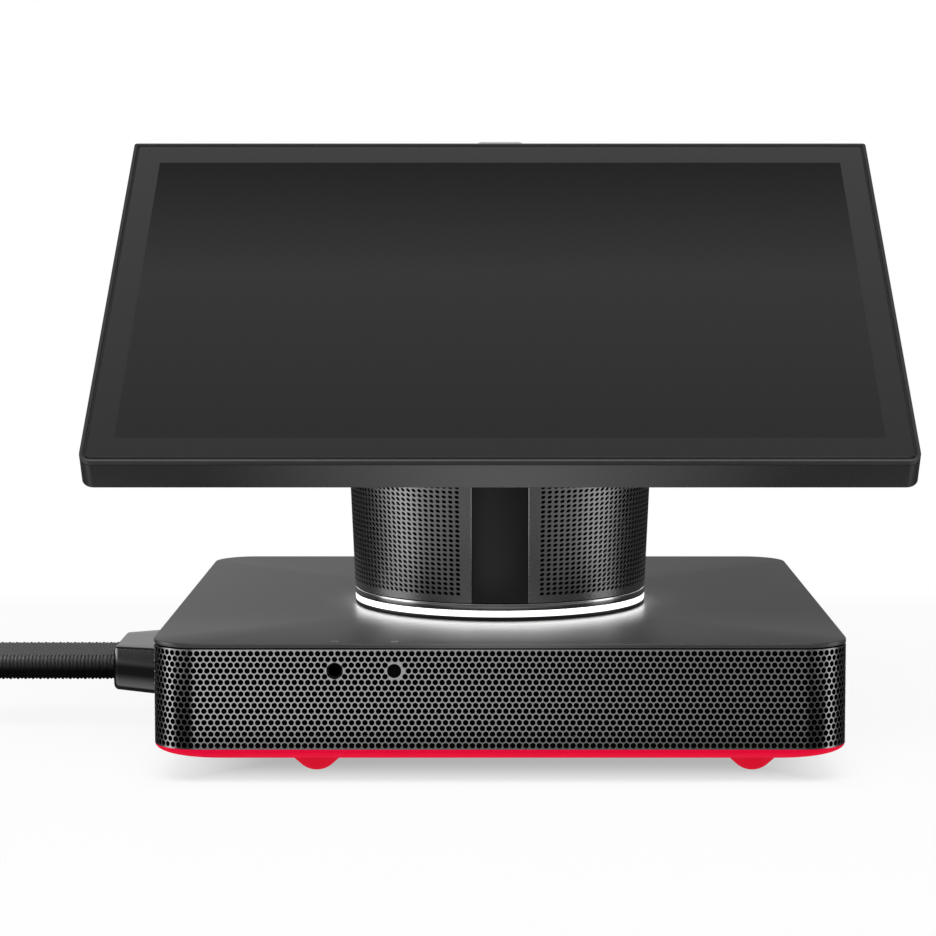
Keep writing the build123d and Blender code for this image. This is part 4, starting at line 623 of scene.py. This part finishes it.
def base_layer(perforated, outer_depth, thickness):
    """A layer of the base's band, on a hexagonal lattice that closes on itself, with or without holes."""
    pitch = perimeter / HOLES_ROUND_BASE
    row_rise = pitch * sqrt(3) / 2
    jack, button = middle("audio_jack"), middle("power_button")
    around = 4 * HOLES_ROUND_BASE
    sheet = Sheet()

    def lattice(a, b):
        return sheet.point((a % around, b), jack.x + a * pitch / 4, jack.z + b * row_rise / 6)

    def from_control(v, control):
        """Distance along the wall from a control, the short way round."""
        return (sheet.points[v][0] - control.x + perimeter / 2) % perimeter - perimeter / 2

    def centres(row):
        shift = 2 * ((row - CONTROL_ROW) % 2)
        return [(4 * i + shift, 6 * (CONTROL_ROW - row)) for i in range(HOLES_ROUND_BASE)]

    def outline(a, b):
        return [lattice(a + da, b + db) for da, db in CELL]

    controls = ((jack, JACK_OPENING_R), (button, BUTTON_OPENING_R))
    closed = {}
    for control, radius in controls:
        nearest = round((control.x - jack.x) / pitch) * 4
        for da, db in ((0, 0), (4, 0), (-4, 0), (2, 6), (-2, 6), (2, -6), (-2, -6)):
            closed[((nearest + da) % around, db)] = control
    outlet_mid = middle("cable")
    left_start = sum(straight) * 2 + 4 * quarter - straight[0] / 2 - quarter - straight[1]

    def in_outlet(a, b):
        along = (jack.x + a * pitch / 4) % perimeter
        y = base_middle.y + straight[1] / 2 - (along - left_start)
        z = jack.z + b * row_rise / 6
        return abs(y - outlet_mid.y) < OUTLET.x / 2 and abs(z - outlet_mid.z) < OUTLET.y / 2

    for row in range(BASE_ROWS):
        for a, b in centres(row):
            if (a % around, b) in closed or in_outlet(a, b):
                continue
            cell = outline(a, b)
            mid_x, mid_z = jack.x + a * pitch / 4, jack.z + b * row_rise / 6
            if perforated:
                spokes = [(BASE_HOLE_R * cos(k * pi / 6), BASE_HOLE_R * sin(k * pi / 6)) for k in range(12)]
                sheet.ring(cell, [(mid_x + x, mid_z + z) for x, z in spokes])
            else:
                sheet.faces.append(tuple(cell))
    for control, radius in controls:
        patch = Sheet()
        patch.faces = [outline(a, b) for (a, b), owner in closed.items() if owner is control]
        following = dict(patch.edges())
        rim = [next(iter(following))]
        while following[rim[-1]] != rim[0]:
            rim.append(following[rim[-1]])
        angles = [atan2(sheet.points[v][1] - control.z, from_control(v, control)) for v in rim]
        sheet.ring(rim, [(control.x + radius * cos(t), control.z + radius * sin(t)) for t in angles])
    # Plain margins above the first row and below the last.
    for row, sign, edge_z in ((0, 1, band_high.z - BAND_TOP_GAP), (BASE_ROWS - 1, -1, band_low.z)):
        for a, b in centres(row):
            for da in range(-2, 2):
                pair = []
                for offset in (da, da + 1):
                    edge_key = ((a + offset) % around, row, "edge")
                    pair.append((lattice(a + offset, b + sign * (4 - abs(offset))),
                                 sheet.point(edge_key, jack.x + (a + offset) * pitch / 4, edge_z)))
                quad = (pair[0][0], pair[1][0], pair[1][1], pair[0][1])
                sheet.faces.append(quad if sign > 0 else tuple(reversed(quad)))

    def place(along, z, depth):
        return on_base_wall(along, z, outer_depth + depth)

    return sheet.solid(place, thickness)


def build_base_band():
    """Perforated metal band round the base, with dark acoustic cloth bonded behind it."""
    points, faces = base_layer(True, 0.0, BASE_SHEET)
    piece("perforated_band", points, faces, "base", "grille_metal", "base_grille")
    points, faces = base_layer(False, BASE_SHEET + CLOTH_GAP, CLOTH)
    piece("band_cloth", points, faces, "base", "inner_plastic")


def build_deck():
    """Flat top plate with eased edges and a round hole for the neck."""
    under, ease = DECK_UNDER_EASE, DECK_EASE
    steps = [(under, deck_low.z), (0.0, deck_low.z + under), (0.0, deck_high.z - ease)]
    steps += [(ease * (1 - cos(t)), deck_high.z - ease * (1 - sin(t))) for t in (pi / 6, pi / 3, pi / 2)]
    loops = []
    for inset, z in steps:
        flat = rounded_outline(base_width, base_depth, [BASE_CORNER] * 4, inset, 12, 20)
        loops.append([Vector((base_middle.x + p.x, base_middle.y + p.y, z)) for p in flat])
    for z, outer in ((deck_high.z, loops[-1]), (deck_low.z, loops[0])):
        circle = [atan2(p.y, p.x) for p in outer]
        loops.append([Vector((DECK_HOLE_R * cos(t), DECK_HOLE_R * sin(t), z)) for t in circle])
    lofted("deck_panel", loops, "base", "deck_paint", "deck_plate", ring=True)


def build_symbols():
    """Small pale marks printed on the deck above the controls: a headphone and a power sign."""

    def stroke(path):
        """Flat closed band that follows a path on the deck."""
        loops = []
        for k, spot in enumerate(path):
            ahead, behind = path[min(k + 1, len(path) - 1)], path[max(k - 1, 0)]
            side = (ahead - behind).orthogonal().normalized() * MARK_LINE / 2
            low, high = deck_high.z - MARK_HEIGHT, deck_high.z + MARK_HEIGHT
            corners = ((spot + side, low), (spot - side, low), (spot - side, high), (spot + side, high))
            loops.append([Vector((*flat, z)) for flat, z in corners])
        return loops

    def arc(centre, radius, start, end, steps=14):
        return [centre + radius * Vector((cos(a), sin(a)))
                for a in (radians(start + (end - start) * k / steps) for k in range(steps + 1))]

    front = deck_low.y + MARK_FROM_EDGE
    jack_mark = Vector((middle("audio_jack").x - 0.2 * MM, front))
    power_mark = Vector((middle("power_button").x, front))
    size = MARK_SIZE
    paths = {
        "socket_mark_band": arc(jack_mark, size, -15, 195),
        "socket_mark_left": [jack_mark + Vector((-1, y)) * size for y in (-0.5, 0.25)],
        "socket_mark_right": [jack_mark + Vector((1, y)) * size for y in (-0.5, 0.25)],
        "power_mark_ring": arc(power_mark, size, 125, 415),
        "power_mark_bar": [power_mark + Vector((0, y)) * size for y in (0.25, 1.25)],
    }
    for name, path in paths.items():
        lofted(name, stroke(path), "base", "light_diffuser")


# -------------------- neck
def turned_ring(name, node, slot, wall, ease, bulge):
    """Ring that follows the neck's flare, with eased outer edges and a slightly bulging face."""
    low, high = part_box(node)
    inset_heights = [(wall, low.z), (ease, low.z), (0.3 * ease, low.z + 0.3 * ease), (0.0, low.z + ease)]
    inset_heights += [(-bulge, (low.z + high.z) / 2)] if bulge else []
    inset_heights += [(0.0, high.z - ease), (0.3 * ease, high.z - 0.3 * ease), (ease, high.z), (wall, high.z)]
    count = 240
    loops = []
    for inset, z in inset_heights:
        radius = neck_radius(z) - inset
        angles = (2 * pi * k / count for k in range(count))
        loops.append([Vector((radius * cos(a), radius * sin(a), z)) for a in angles])
    return lofted(name, loops, "base", slot, node, ring=True)


# Corners and side points of a square cell, anticlockwise, in thirds of its width and height.
SQUARE = ((3, 1), (3, 2), (3, 3), (2, 3), (1, 3), (0, 3), (0, 2), (0, 1), (0, 0), (1, 0), (2, 0), (3, 0))


def neck_layer(side, perforated, outer_depth, thickness):
    """A layer of half the neck's cover, on a grid cut off by the display's back, with or without holes."""
    first = FIRST_COLUMN / neck_radius(neck_foot_z)
    column = (pi - 2 * first) / (NECK_COLUMNS - 1)
    start = first - column / 2
    low_z = neck_foot_z + NECK_FIRST_ROW - NECK_ROW_PITCH / 2
    ease = 0.2 * MM
    sheet = Sheet()

    def edge_turn(z, rear):
        turn = asin(STRIP_EDGE_X / neck_radius(z))
        return pi - turn if rear else turn

    def place(turn, z, depth):
        radius = neck_radius(z) - outer_depth - depth
        capped = min(z, neck_top(turn, outer_depth + depth))
        return Vector((side * radius * sin(turn), -radius * cos(turn), capped))

    def rows_under(turn):
        """Whole rows that fit below the cut at this angle."""
        return int((neck_top(turn) - low_z) / NECK_ROW_PITCH - 0.15)

    # Upright lines of points: three to a column of holes, and the heights in thirds of a row.
    def level(third):
        return low_z + third * NECK_ROW_PITCH / 3

    def grid(c, third):
        """Point on the grid, with c in thirds of a column."""
        return sheet.point((c, third), start + c * column / 3, level(third))

    def foot(c):
        return sheet.point((c, "foot"), start + c * column / 3, neck_foot_z)

    def crest(c):
        turn = start + c * column / 3
        return sheet.point((c, "crest"), turn, neck_top(turn))

    for j in range(NECK_COLUMNS):
        c = 3 * j
        turn = start + (c + 1.5) * column / 3
        whole = min(rows_under(start + c * column / 3), rows_under(start + (c + 3) * column / 3))
        share = min(sin(turn) / sin(NECK_HOLE_SETTLED), 1.0)
        half_long, half_short, slant = (a + gain * share for a, gain in zip(NECK_HOLE, NECK_HOLE_GAIN))
        lean = -radians(slant)
        for i in range(whole):
            t = 3 * i
            cell = [grid(c + across, t + rise) for across, rise in SQUARE]
            if not perforated:
                sheet.faces.append(tuple(cell))
                continue
            mid_z = level(t + 1.5)
            radius = neck_radius(mid_z)
            hole = []
            for v in cell:
                across = (sheet.points[v][0] - turn) * radius
                rise = sheet.points[v][1] - mid_z
                a = atan2(rise, across) + lean
                x, z = half_long * MM * cos(a), half_short * MM * sin(a)
                hole.append((turn + (x * cos(lean) + z * sin(lean)) / radius,
                             mid_z - x * sin(lean) + z * cos(lean)))
            sheet.ring(cell, hole)
        for k in range(3):
            sheet.faces.append((foot(c + k), foot(c + k + 1), grid(c + k + 1, 0), grid(c + k, 0)))
        # Plain metal between the last whole row and the oblique cut.
        left_rows, right_rows = (3 * rows_under(start + e * column / 3) for e in (c, c + 3))
        polygon = [grid(c + k, 3 * whole) for k in range(3)]
        polygon += [grid(c + 3, t) for t in range(3 * whole, right_rows + 1)]
        polygon += [crest(c + 3 - k) for k in range(4)]
        polygon += [grid(c, t) for t in range(left_rows, 3 * whole, -1)]
        sheet.faces.append(tuple(polygon))
    # Plain margins beside the two strips, with their upright edges eased.
    for rear in (False, True):
        c = 3 * NECK_COLUMNS if rear else 0
        turn = start + c * column / 3
        thirds = ["foot"] + list(range(3 * rows_under(turn) + 1)) + ["crest"]
        inner = [foot(c)] + [grid(c, t) for t in thirds[1:-1]] + [crest(c)]
        columns = [inner]
        for label, back, drawn in (("near", ease, 0.0), ("edge", 0.0, ease)):
            line = []
            for key, v in zip(thirds, inner):
                z = sheet.points[v][1]
                away = edge_turn(z, rear)
                away += (-1 if rear else 1) * back / neck_radius(z)
                if key == "crest":
                    z = neck_top(away)
                line.append(sheet.point((rear, label, key), away, z, drawn))
            columns.append(line)
        for near, far in zip(columns, columns[1:]):
            for k in range(len(near) - 1):
                quad = (far[k], near[k], near[k + 1], far[k + 1])
                sheet.faces.append(tuple(reversed(quad)) if rear else quad)
    points, faces = sheet.solid(place, thickness)
    if side < 0:
        faces = [tuple(reversed(face)) for face in faces]
    return points, faces


def build_neck_grille(side, node, name):
    """Half of the neck's perforated cover, with dark cloth bonded behind it."""
    points, faces = neck_layer(side, True, 0.0, NECK_SHEET)
    piece(name, points, faces, "display", "neck_metal", node)
    points, faces = neck_layer(side, False, NECK_SHEET + CLOTH_GAP, CLOTH)
    piece(name.replace("mesh", "cloth"), points, faces, "display", "inner_plastic")


# -------------------- display
def face_loop(inset, depth, corner_steps=8):
    """Loop round the display's outline, drawn in by inset, at a depth behind its face."""
    radii = (DISPLAY_BOTTOM_CORNER, DISPLAY_BOTTOM_CORNER, DISPLAY_TOP_CORNER, DISPLAY_TOP_CORNER)
    flat = rounded_outline(face_width, face_height, radii, inset, corner_steps)
    return [on_display(p.x, p.y + face_height / 2, depth) for p in flat]


def node_depths(node):
    """How far behind the display's face a node starts and ends."""
    low, high = span(node, normal)
    return face_level - high, face_level - low


def build_rim():
    """Thin metal rim round the glass, with a fine split line to the housing behind it."""
    glass_back = node_depths("cover_glass")[1]
    rim_back = node_depths("display_rear_housing")[0]
    split, outer_ease, inner_ease = 0.16 * MM, 0.2 * MM, 0.15 * MM
    section = [
        (split, rim_back), (0.0, rim_back - split), (0.0, outer_ease), (0.3 * outer_ease, 0.3 * outer_ease),
        (outer_ease, 0.0), (RIM_WIDTH - inner_ease, 0.0), (RIM_WIDTH, inner_ease), (RIM_WIDTH, glass_back),
        (RIM_LEDGE, glass_back), (RIM_LEDGE, rim_back),
    ]
    loops = [face_loop(inset, depth) for inset, depth in section]
    lofted("front_rim", loops, "display", "rim_metal", "display_frame", ring=True)


def build_glass():
    """Cover glass with a chamfered edge that catches the light."""
    depth = node_depths("cover_glass")[1]
    inset = (face_width - (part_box("cover_glass")[1].x * 2)) / 2
    soft = 0.06 * MM
    steps = [(inset, depth), (inset, GLASS_CHAMFER + soft), (inset + soft / 2, GLASS_CHAMFER - soft),
             (inset + GLASS_CHAMFER - soft, soft / 2), (inset + GLASS_CHAMFER + soft, 0.0)]
    loops = [face_loop(i, d) for i, d in steps]
    lofted("front_glass", loops, "display", "cover_glass", "cover_glass", smooth=radians(20))


def build_status_bar():
    """Frosted bar on the top edge, with sloping ends and a stem that goes in through the top wall."""
    near, far = node_depths("status_light_bar")
    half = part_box("status_light_bar")[1].x
    top = span("status_light_bar", up)[1] - face_low
    slope = BAR_END_SLOPE
    sections = [
        (BAR_STEM_HALF, face_height - 3 * MM, near + 2.9 * MM, far - 0.6 * MM),
        (BAR_STEM_HALF, face_height, near + 2.9 * MM, far - 0.6 * MM),
        (half, face_height, near, far),
        (half - 0.1 * MM, face_height + 0.3 * MM, near, far),
        (half - slope, top - 0.1 * MM, near + 0.1 * MM, far - 0.1 * MM),
        (half - slope - 0.25 * MM, top, near + 0.3 * MM, far - 0.3 * MM),
    ]
    loops = [[on_display(x, rise, depth) for x, depth in ((-w, front), (w, front), (w, back), (-w, back))]
             for w, rise, front, back in sections]
    lofted("frosted_bar", loops, "display", "light_diffuser", "status_light_bar")


# -------------------- cable
def cable_ring(count):
    """Points round the cable's section, each with its outward normal and its lean along the cable.
    Strands lean one way over the wide faces and the other way round the edges, and join up all round."""
    low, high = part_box("cable")
    low -= Vector((0.0, *CABLE_SPREAD))
    width, height = high.y - low.y, high.z - low.z
    radius = CABLE_CORNER
    centre = (low + high) / 2
    sides = (width - 2 * radius, height - 2 * radius)
    bend = radius * pi / 2
    total = 2 * sum(sides) + 4 * bend
    slopes = (STRAND_LEAN, -STRAND_LEAN * (sides[0] + bend) / (sides[1] + bend))
    ring = []
    for k in range(count):
        travel = (total * k / count + sides[0] / 2) % total
        lean = 0.0
        for turn, (sy, sz) in enumerate(((1, 1), (-1, 1), (-1, -1), (1, -1))):
            side, slope, onward = sides[turn % 2], slopes[turn % 2], slopes[(turn + 1) % 2]
            start = pi / 2 + turn * pi / 2
            corner = Vector((centre.y + sy * sides[0] / 2, centre.z + sz * sides[1] / 2))
            outward = Vector((cos(start), sin(start)))
            heading = Vector((-outward.y, outward.x))
            if travel <= side:
                ring.append((corner + heading * travel + outward * radius, outward, lean + slope * travel))
                break
            travel -= side
            lean += slope * side
            if travel <= bend:
                outward = Vector((cos(start + travel / radius), sin(start + travel / radius)))
                half = min(travel, bend / 2)
                lean += slope * half + onward * (travel - half)
                ring.append((corner + heading * side + outward * radius, outward, lean))
                break
            travel -= bend
            lean += (slope + onward) * bend / 2
    return ring


def build_cable():
    """Flat braided cable: strands cross its top at a slant and turn back down its sides."""
    low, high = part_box("cable")
    inner_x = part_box("cable_boot")[0].x + 3 * MM
    per_strand = 8
    steps = int((inner_x - low.x) / (STRAND_PITCH / per_strand))
    count = 160
    ring = cable_ring(count)
    loops = []
    for s in range(steps + 1):
        x = low.x + (inner_x - low.x) * s / steps
        loop = []
        for k, (spot, outward, lean) in enumerate(ring):
            phase = (x + lean) / STRAND_PITCH
            ridge = abs(sin(pi * phase))
            knot = 0.5 + 0.5 * cos(2 * pi * (KNOTS_ROUND_CABLE * k / count + 0.5 * (int(phase // 1) % 2)))
            drop = STRAND_RELIEF * (1 - ridge ** 0.75) + 0.3 * STRAND_RELIEF * (1 - knot)
            flat = spot - outward * drop
            loop.append(Vector((x, flat.x, flat.y)))
        loops.append(list(reversed(loop)))
    lofted("woven_cable", loops, "base", "braid", "cable", smooth=radians(180))


def build_boot():
    """Tapered strain relief: crisp along its upper edges, rounder below, with a softly rounded outer end."""
    low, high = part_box("cable_boot")
    root = deck_low.x
    length = root - low.x
    stations = [(0.0, 0.0), (0.5, 0.0), ((length - BOOT_ROUND - 0.2 * MM) / length, 0.0)]
    stations += [((length - BOOT_ROUND * (1 - sin(t))) / length, BOOT_ROUND * (1 - cos(t)))
                 for t in (k * pi / 12 for k in range(6))]
    loops = []
    for share, inset in stations:
        front, back, bottom, top = [(a + (b - a) * share) * MM for a, b in zip(BOOT_ROOT, BOOT_END)]
        width, height = back - front, top - bottom
        flat = rounded_outline(width, height, BOOT_CORNERS, inset, 8, 6)
        mid_y, mid_z = (front + back) / 2, (top + bottom) / 2
        loop = []
        for p in flat:
            bulge = 1 + BOOT_BULGE * (1 - (2 * p.y / height) ** 2)
            loop.append(Vector((root - share * length, mid_y - p.x * bulge, mid_z + p.y)))
        loops.append(loop)
    mouth = cable_ring(400)
    mouth_middle = sum((spot for spot, *rest in mouth), Vector((0.0, 0.0))) / len(mouth)
    hole = []
    for p in loops[-1]:
        aim = (Vector((p.y, p.z)) - mouth_middle).normalized()
        spot, outward, lean = max(mouth, key=lambda m: (m[0] - mouth_middle).normalized().dot(aim))
        hole.append(Vector((low.x, *(spot + outward * 0.1 * MM))))
    inner = [Vector((root, p.y, p.z)) for p in hole]
    lofted("boot_cover", loops + [hole, inner], "base", "boot_plastic", "cable_boot", ring=True)


def soften(node):
    """Shades a CAD node smooth across its facets and crisp along its edges."""
    if node.data.has_custom_normals:
        node.data.attributes.remove(node.data.attributes["custom_normal"])
    node.data.polygons.foreach_set("use_smooth", [True] * len(node.data.polygons))
    weld = node.modifiers.new("weld", "WELD")
    weld.merge_threshold = 0.001 * MM
    crisp = node.modifiers.new("crisp", "EDGE_SPLIT")
    crisp.split_angle = SMOOTH_BELOW


def finish_nodes():
    """Gives every CAD node its slot's finish."""
    for row in frame["record"]["subparts"]:
        node = frame["nodes"][row["node"]]
        node.data.materials.clear()
        node.data.materials.append(materials[row["material_slot"]])
        soften(node)


# -------------------- build
materials = build_materials()
build_base_band()
build_deck()
build_symbols()
for ring_name, ring_settings in RINGS.items():
    turned_ring(ring_name, *ring_settings)
build_neck_grille(-1, "speaker_grille_left", "neck_mesh_left")
build_neck_grille(1, "speaker_grille_right", "neck_mesh_right")
build_rim()
build_glass()
build_status_bar()
build_cable()
build_boot()
finish_nodes()


# -------------------- stage, light and camera
FLOOR_REACH = 6.0
FLOOR_TONE = (0.66, 0.66, 0.66, 1.0)
FLOOR_GLOW = 0.32               # light of its own that the floor adds round the object
FLOOR_BOUNCE = 0.95             # the floor's light on the object's dull surfaces
FLOOR_MIRRORED = 0.05           # the least that the object mirrors of the floor
# The floor turns white away from the base: by how far a point lies outside the base's outline.
WHITE_CLOSE = (-0.035, 0.010, 0.0, 0.86)
WHITE_FAR = (0.0, 0.20, 0.0, 1.0)
# Bright patches that the object mirrors: by place on the floor, and by the ray's angle from straight ahead.
FRONT_START = (-0.155, -0.135, 1.0, 0.0)
FRONT_END = (-0.42, -0.32, 0.22, 1.0)
FRONT_ACROSS = (-0.12, 0.12, 1.05, 0.30)
FRONT_FAN = (radians(12), radians(22), 1.0, 0.0)
SIDE_FAN = ((radians(60), radians(72), 0.0, 1.0), (radians(78), radians(108), 1.0, 0.0))
FAR_FAN = ((radians(15), radians(50), 0.10, 0.50), (radians(60), radians(72), 1.0, 0.0))
FAR_START = (0.26, 0.34, 0.0, 1.0)
SIDES_ACROSS = (-0.1, 0.1, 1.25, 1.05)
# The room as the object sees it: bright low down behind the object, more so to the left.
ROOM_BEHIND = (0.35, 0.85, 0.0, 1.0)
ROOM_LOW = (0.3, 0.65, 1.0, 0.0)
ROOM_ACROSS = (-0.15, 0.15, 0.39, 0.17)
ROOM_DIM = 0.17
# Softboxes: where each stands, what it faces, its width and height, and its power in watts.
SOFTBOXES = {
    "left_softbox": ((-1.15, -0.04, 0.16), (0, 0, 0.06), (0.70, 0.6), 5.0),
    "right_softbox": ((1.15, -0.04, 0.16), (0, 0, 0.06), (0.42, 0.6), 2.8),
    "top_softbox": ((0.0, -0.7, 1.3), (0, 0, 0.05), (1.3, 0.8), 15),
    "front_fill": ((-0.2, -1.3, 0.55), (0, 0, 0.03), (1.5, 0.25), 1.5),
}
CAMERA_PLACE = (0.0, -0.823, 0.15087)
CAMERA_DIP = radians(4.7)
CAMERA_SHIFT = -0.0342


def past(tree, value, centre, half):
    """Socket with how far a value lies past half a width from a centre, negative inside."""
    return calc(tree, "SUBTRACT", calc(tree, "ABSOLUTE", calc(tree, "SUBTRACT", value, centre)), half)


def mixed_shader(tree, factor, first, second):
    return wire(tree, "MixShader", {0: factor, 1: first, 2: second}).outputs[0]


def emission(tree, strength):
    return wire(tree, "Emission", {"Strength": strength}).outputs[0]


def mirrored_floor(tree, place):
    """Socket with the floor's brightness in reflections."""
    x, y, z = axes(tree, place)
    back_x, back_y, back_z = axes(tree, wire(tree, "NewGeometry").outputs["Incoming"])
    turn = calc(tree, "ABSOLUTE", calc(tree, "ARCTAN2", back_x, back_y))
    front = product(tree, ramp(tree, x, *FRONT_ACROSS), ramp(tree, y, *FRONT_START),
                    ramp(tree, y, *FRONT_END), ramp(tree, turn, *FRONT_FAN))
    side = product(tree, *(ramp(tree, turn, *edge) for edge in SIDE_FAN))
    away = ramp(tree, length(tree, place), *FAR_START)
    far = product(tree, *(ramp(tree, turn, *edge) for edge in FAR_FAN), away)
    sides = product(tree, calc(tree, "ADD", side, far), ramp(tree, x, *SIDES_ACROSS))
    return calc(tree, "ADD", calc(tree, "ADD", front, sides), FLOOR_MIRRORED)


def floor_material():
    """Pale, turning to plain white away from the object, with its own brightness for each kind of ray."""
    material, tree = blank_material("floor")
    place = place_in(tree)
    x, y, z = axes(tree, place)
    away = calc(tree, "MAXIMUM", past(tree, x, base_middle.x, base_width / 2),
                past(tree, y, base_middle.y, base_depth / 2))
    whiteness = calc(tree, "MAXIMUM", ramp(tree, away, *WHITE_CLOSE), ramp(tree, away, *WHITE_FAR))
    shade(material, {"Base Color": FLOOR_TONE, "Roughness": 0.8, "Specular IOR Level": 0.0})
    give_off(material, FLOOR_GLOW)
    near_base = tree.nodes["Principled BSDF"].outputs[0]
    seen = mixed_shader(tree, whiteness, near_base, emission(tree, 1.0))
    others = mixed_shader(tree, ray_is(tree, "Diffuse"), emission(tree, mirrored_floor(tree, place)),
                          emission(tree, FLOOR_BOUNCE))
    mix = mixed_shader(tree, ray_is(tree, "Camera"), others, seen)
    tree.links.new(mix, tree.nodes["Material Output"].inputs["Surface"])
    return material


def build_floor():
    """Flat floor at the height of the feet."""
    mesh = bpy.data.meshes.new("floor")
    signs = ((-1, -1), (1, -1), (1, 1), (-1, 1))
    corners = [(sx * FLOOR_REACH, sy * FLOOR_REACH, cad_box[0].z) for sx, sy in signs]
    mesh.from_pydata(corners, [], [(0, 1, 2, 3)])
    floor = bpy.data.objects.new("floor", mesh)
    scene.collection.objects.link(floor)
    mesh.materials.append(floor_material())


def build_world():
    """White to the camera; to the object, brighter behind it and dimmer in front."""
    world = bpy.data.worlds.new("studio")
    world.use_nodes = True
    scene.world = world
    tree = world.node_tree
    tree.nodes.clear()
    x, y, z = axes(tree, wire(tree, "TexCoord").outputs["Generated"])
    shine = product(tree, ramp(tree, y, *ROOM_BEHIND), ramp(tree, z, *ROOM_LOW), ramp(tree, x, *ROOM_ACROSS))
    room_level = calc(tree, "ADD", shine, ROOM_DIM)
    room, plain = (wire(tree, "Background", {"Color": WHITE, "Strength": level}).outputs[0]
                   for level in (room_level, 1.0))
    output = wire(tree, "OutputWorld")
    tree.links.new(mixed_shader(tree, ray_is(tree, "Camera"), room, plain), output.inputs["Surface"])


def soft_light(name, place, aim, size, power):
    """Rectangular softbox that faces a point."""
    light = bpy.data.lights.new(name, "AREA")
    light.shape = "RECTANGLE"
    light.size, light.size_y = size
    light.energy = power
    obj = bpy.data.objects.new(name, light)
    scene.collection.objects.link(obj)
    obj.location = place
    obj.rotation_euler = (Vector(aim) - Vector(place)).to_track_quat("-Z", "Y").to_euler()


def build_camera():
    """Long lens, a little above the display, looking slightly down."""
    camera = bpy.data.cameras.new("camera")
    camera.sensor_width = 36.0
    camera.lens = 105.0
    camera.shift_x, camera.shift_y = CAMERA_SHIFT, CAMERA_SHIFT
    obj = bpy.data.objects.new("camera", camera)
    scene.collection.objects.link(obj)
    obj.location = CAMERA_PLACE
    obj.rotation_euler = (pi / 2 - CAMERA_DIP, 0.0, 0.0)
    scene.camera = obj


build_floor()
build_world()
for box_name, settings in SOFTBOXES.items():
    soft_light(box_name, *settings)
build_camera()
scene.view_settings.view_transform = "Standard"
